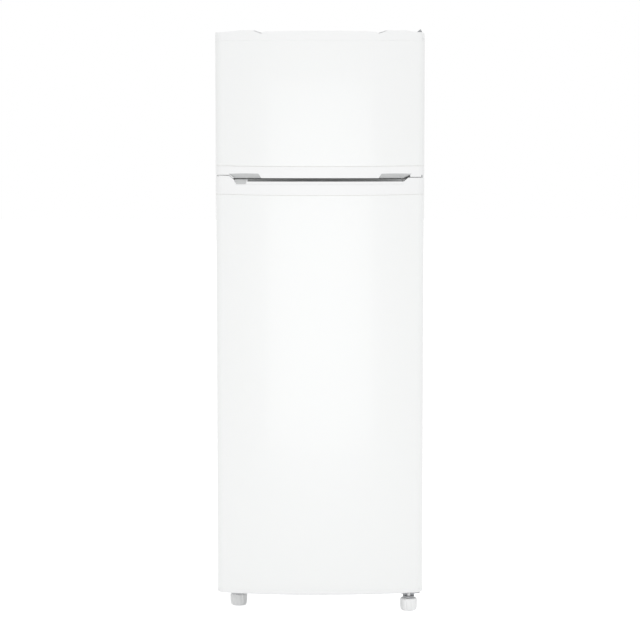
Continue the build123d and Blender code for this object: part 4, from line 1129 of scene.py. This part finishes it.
@dataclass
class Studio:
    """A white room: floor, sky, softboxes and the camera.

    Attributes:
        sky: Strength of the sky where it lights.
        floor_color: Colour of the floor.
        floor_roughness: Roughness of the floor.
        floor_glow: Light that the floor adds where it is looked at.
        floor_size: Length of the floor's sides.
        camera_place: Where the camera stands.
        camera_pitch: How far it is tipped down, in degrees.
        lens: Focal length in millimetres.
        sensor: Width of the sensor in millimetres.
        shift: Shift of the picture across and up, as a share of its width.
        sight: How far the camera sees.
        softboxes: The lamps.
    """

    sky: float = 0.785
    floor_color: Color = (0.9, 0.9, 0.9)
    floor_roughness: float = 0.9
    floor_glow: float = 0.72
    floor_size: float = 60.0
    camera_place: Point = (0.0, -5.8, 1.351)
    camera_pitch: float = 4.6
    lens: float = 107.5
    sensor: float = 36.0
    shift: tuple[float, float] = (0.0, -0.02875)
    sight: float = 100.0
    softboxes: tuple[Softbox, ...] = (
        Softbox("front_softbox", (0.0, -3.4, 0.5), (0.0, 0.0, 0.8), (1.9, 2.3), 19.0),
        Softbox("overhead_softbox", (0.0, -0.8, 4.2), (0.0, 0.0, 0.8), (4.0, 3.5), 22.0),
    )

    def build(self) -> None:
        """Sets up the room."""
        self._sky()
        self._floor()
        for softbox in self.softboxes:
            softbox.build()
        self._camera()

    def _sky(self) -> None:
        """A sky that lights the part evenly and shows as white."""
        world = bpy.data.worlds.new("studio_sky")
        bpy.context.scene.world = world
        world.use_nodes = True
        tree = world.node_tree
        light = tree.nodes["Background"]
        light.inputs["Color"].default_value = WHITE
        strength = tree.nodes.new("ShaderNodeMapRange")
        strength.inputs["To Min"].default_value = self.sky
        strength.inputs["To Max"].default_value = 1.0
        tree.links.new(self._seen(tree), strength.inputs["Value"])
        tree.links.new(strength.outputs["Result"], light.inputs["Strength"])

    def _seen(self, tree: bpy.types.NodeTree) -> bpy.types.NodeSocket:
        """Tells rays that look, straight, in a reflection or through glass, from rays that light.

        Args:
            tree: The node tree that asks.

        Returns:
            A socket that is 1 for a ray that looks and 0 for one that lights.
        """
        rays = tree.nodes.new("ShaderNodeLightPath")
        seen = rays.outputs["Is Camera Ray"]
        for kind in ("Is Glossy Ray", "Is Transmission Ray"):
            either = tree.nodes.new("ShaderNodeMath")
            either.operation = "MAXIMUM"
            tree.links.new(seen, either.inputs[0])
            tree.links.new(rays.outputs[kind], either.inputs[1])
            seen = either.outputs["Value"]
        return seen

    def _floor(self) -> None:
        """A white floor that keeps a faint shadow."""
        work = bmesh.new()
        bmesh.ops.create_grid(work, x_segments=1, y_segments=1, size=self.floor_size / 2)
        mesh = as_mesh("floor", work)
        material = bpy.data.materials.new("floor_paper")
        material.use_nodes = True
        tree = material.node_tree
        shader = tree.nodes["Principled BSDF"]
        shader.inputs["Base Color"].default_value = (*self.floor_color, 1.0)
        shader.inputs["Roughness"].default_value = self.floor_roughness
        shader.inputs["Specular IOR Level"].default_value = 0.0
        shader.inputs["Emission Color"].default_value = WHITE
        glow = tree.nodes.new("ShaderNodeMath")
        glow.operation = "MULTIPLY"
        glow.inputs[1].default_value = self.floor_glow
        tree.links.new(self._seen(tree), glow.inputs[0])
        tree.links.new(glow.outputs["Value"], shader.inputs["Emission Strength"])
        mesh.materials.append(material)
        floor = as_object("floor", mesh)

    def _camera(self) -> None:
        """A long lens a little above the middle, tipped down."""
        lens = bpy.data.cameras.new("camera")
        lens.lens = self.lens
        lens.sensor_width = self.sensor
        lens.shift_x, lens.shift_y = self.shift
        lens.clip_end = self.sight
        camera = as_object("camera", lens)
        camera.location = self.camera_place
        camera.rotation_euler = (math.radians(90.0 - self.camera_pitch), 0.0, 0.0)
        bpy.context.scene.camera = camera


def main() -> None:
    """Builds the whole scene in order and reports each piece."""
    logging.basicConfig(level=logging.INFO)
    shop = Workshop(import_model())
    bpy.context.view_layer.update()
    bpy.context.scene.view_settings.view_transform = "Standard"
    Panels().build(shop)
    Fittings().build(shop)
    Screws().build(shop)
    Interior().build(shop)
    Dial().build(shop)
    FRIDGE_DOOR.build(shop)
    FREEZER_DOOR.build(shop)
    Grip().build(shop)
    for name, body in shop.pieces.items():
        LOG.info("%s is finished and moves with %s", name, body)
    Studio().build()
    LOG.info("the studio is set up")


if __name__ == "__main__":
    main()
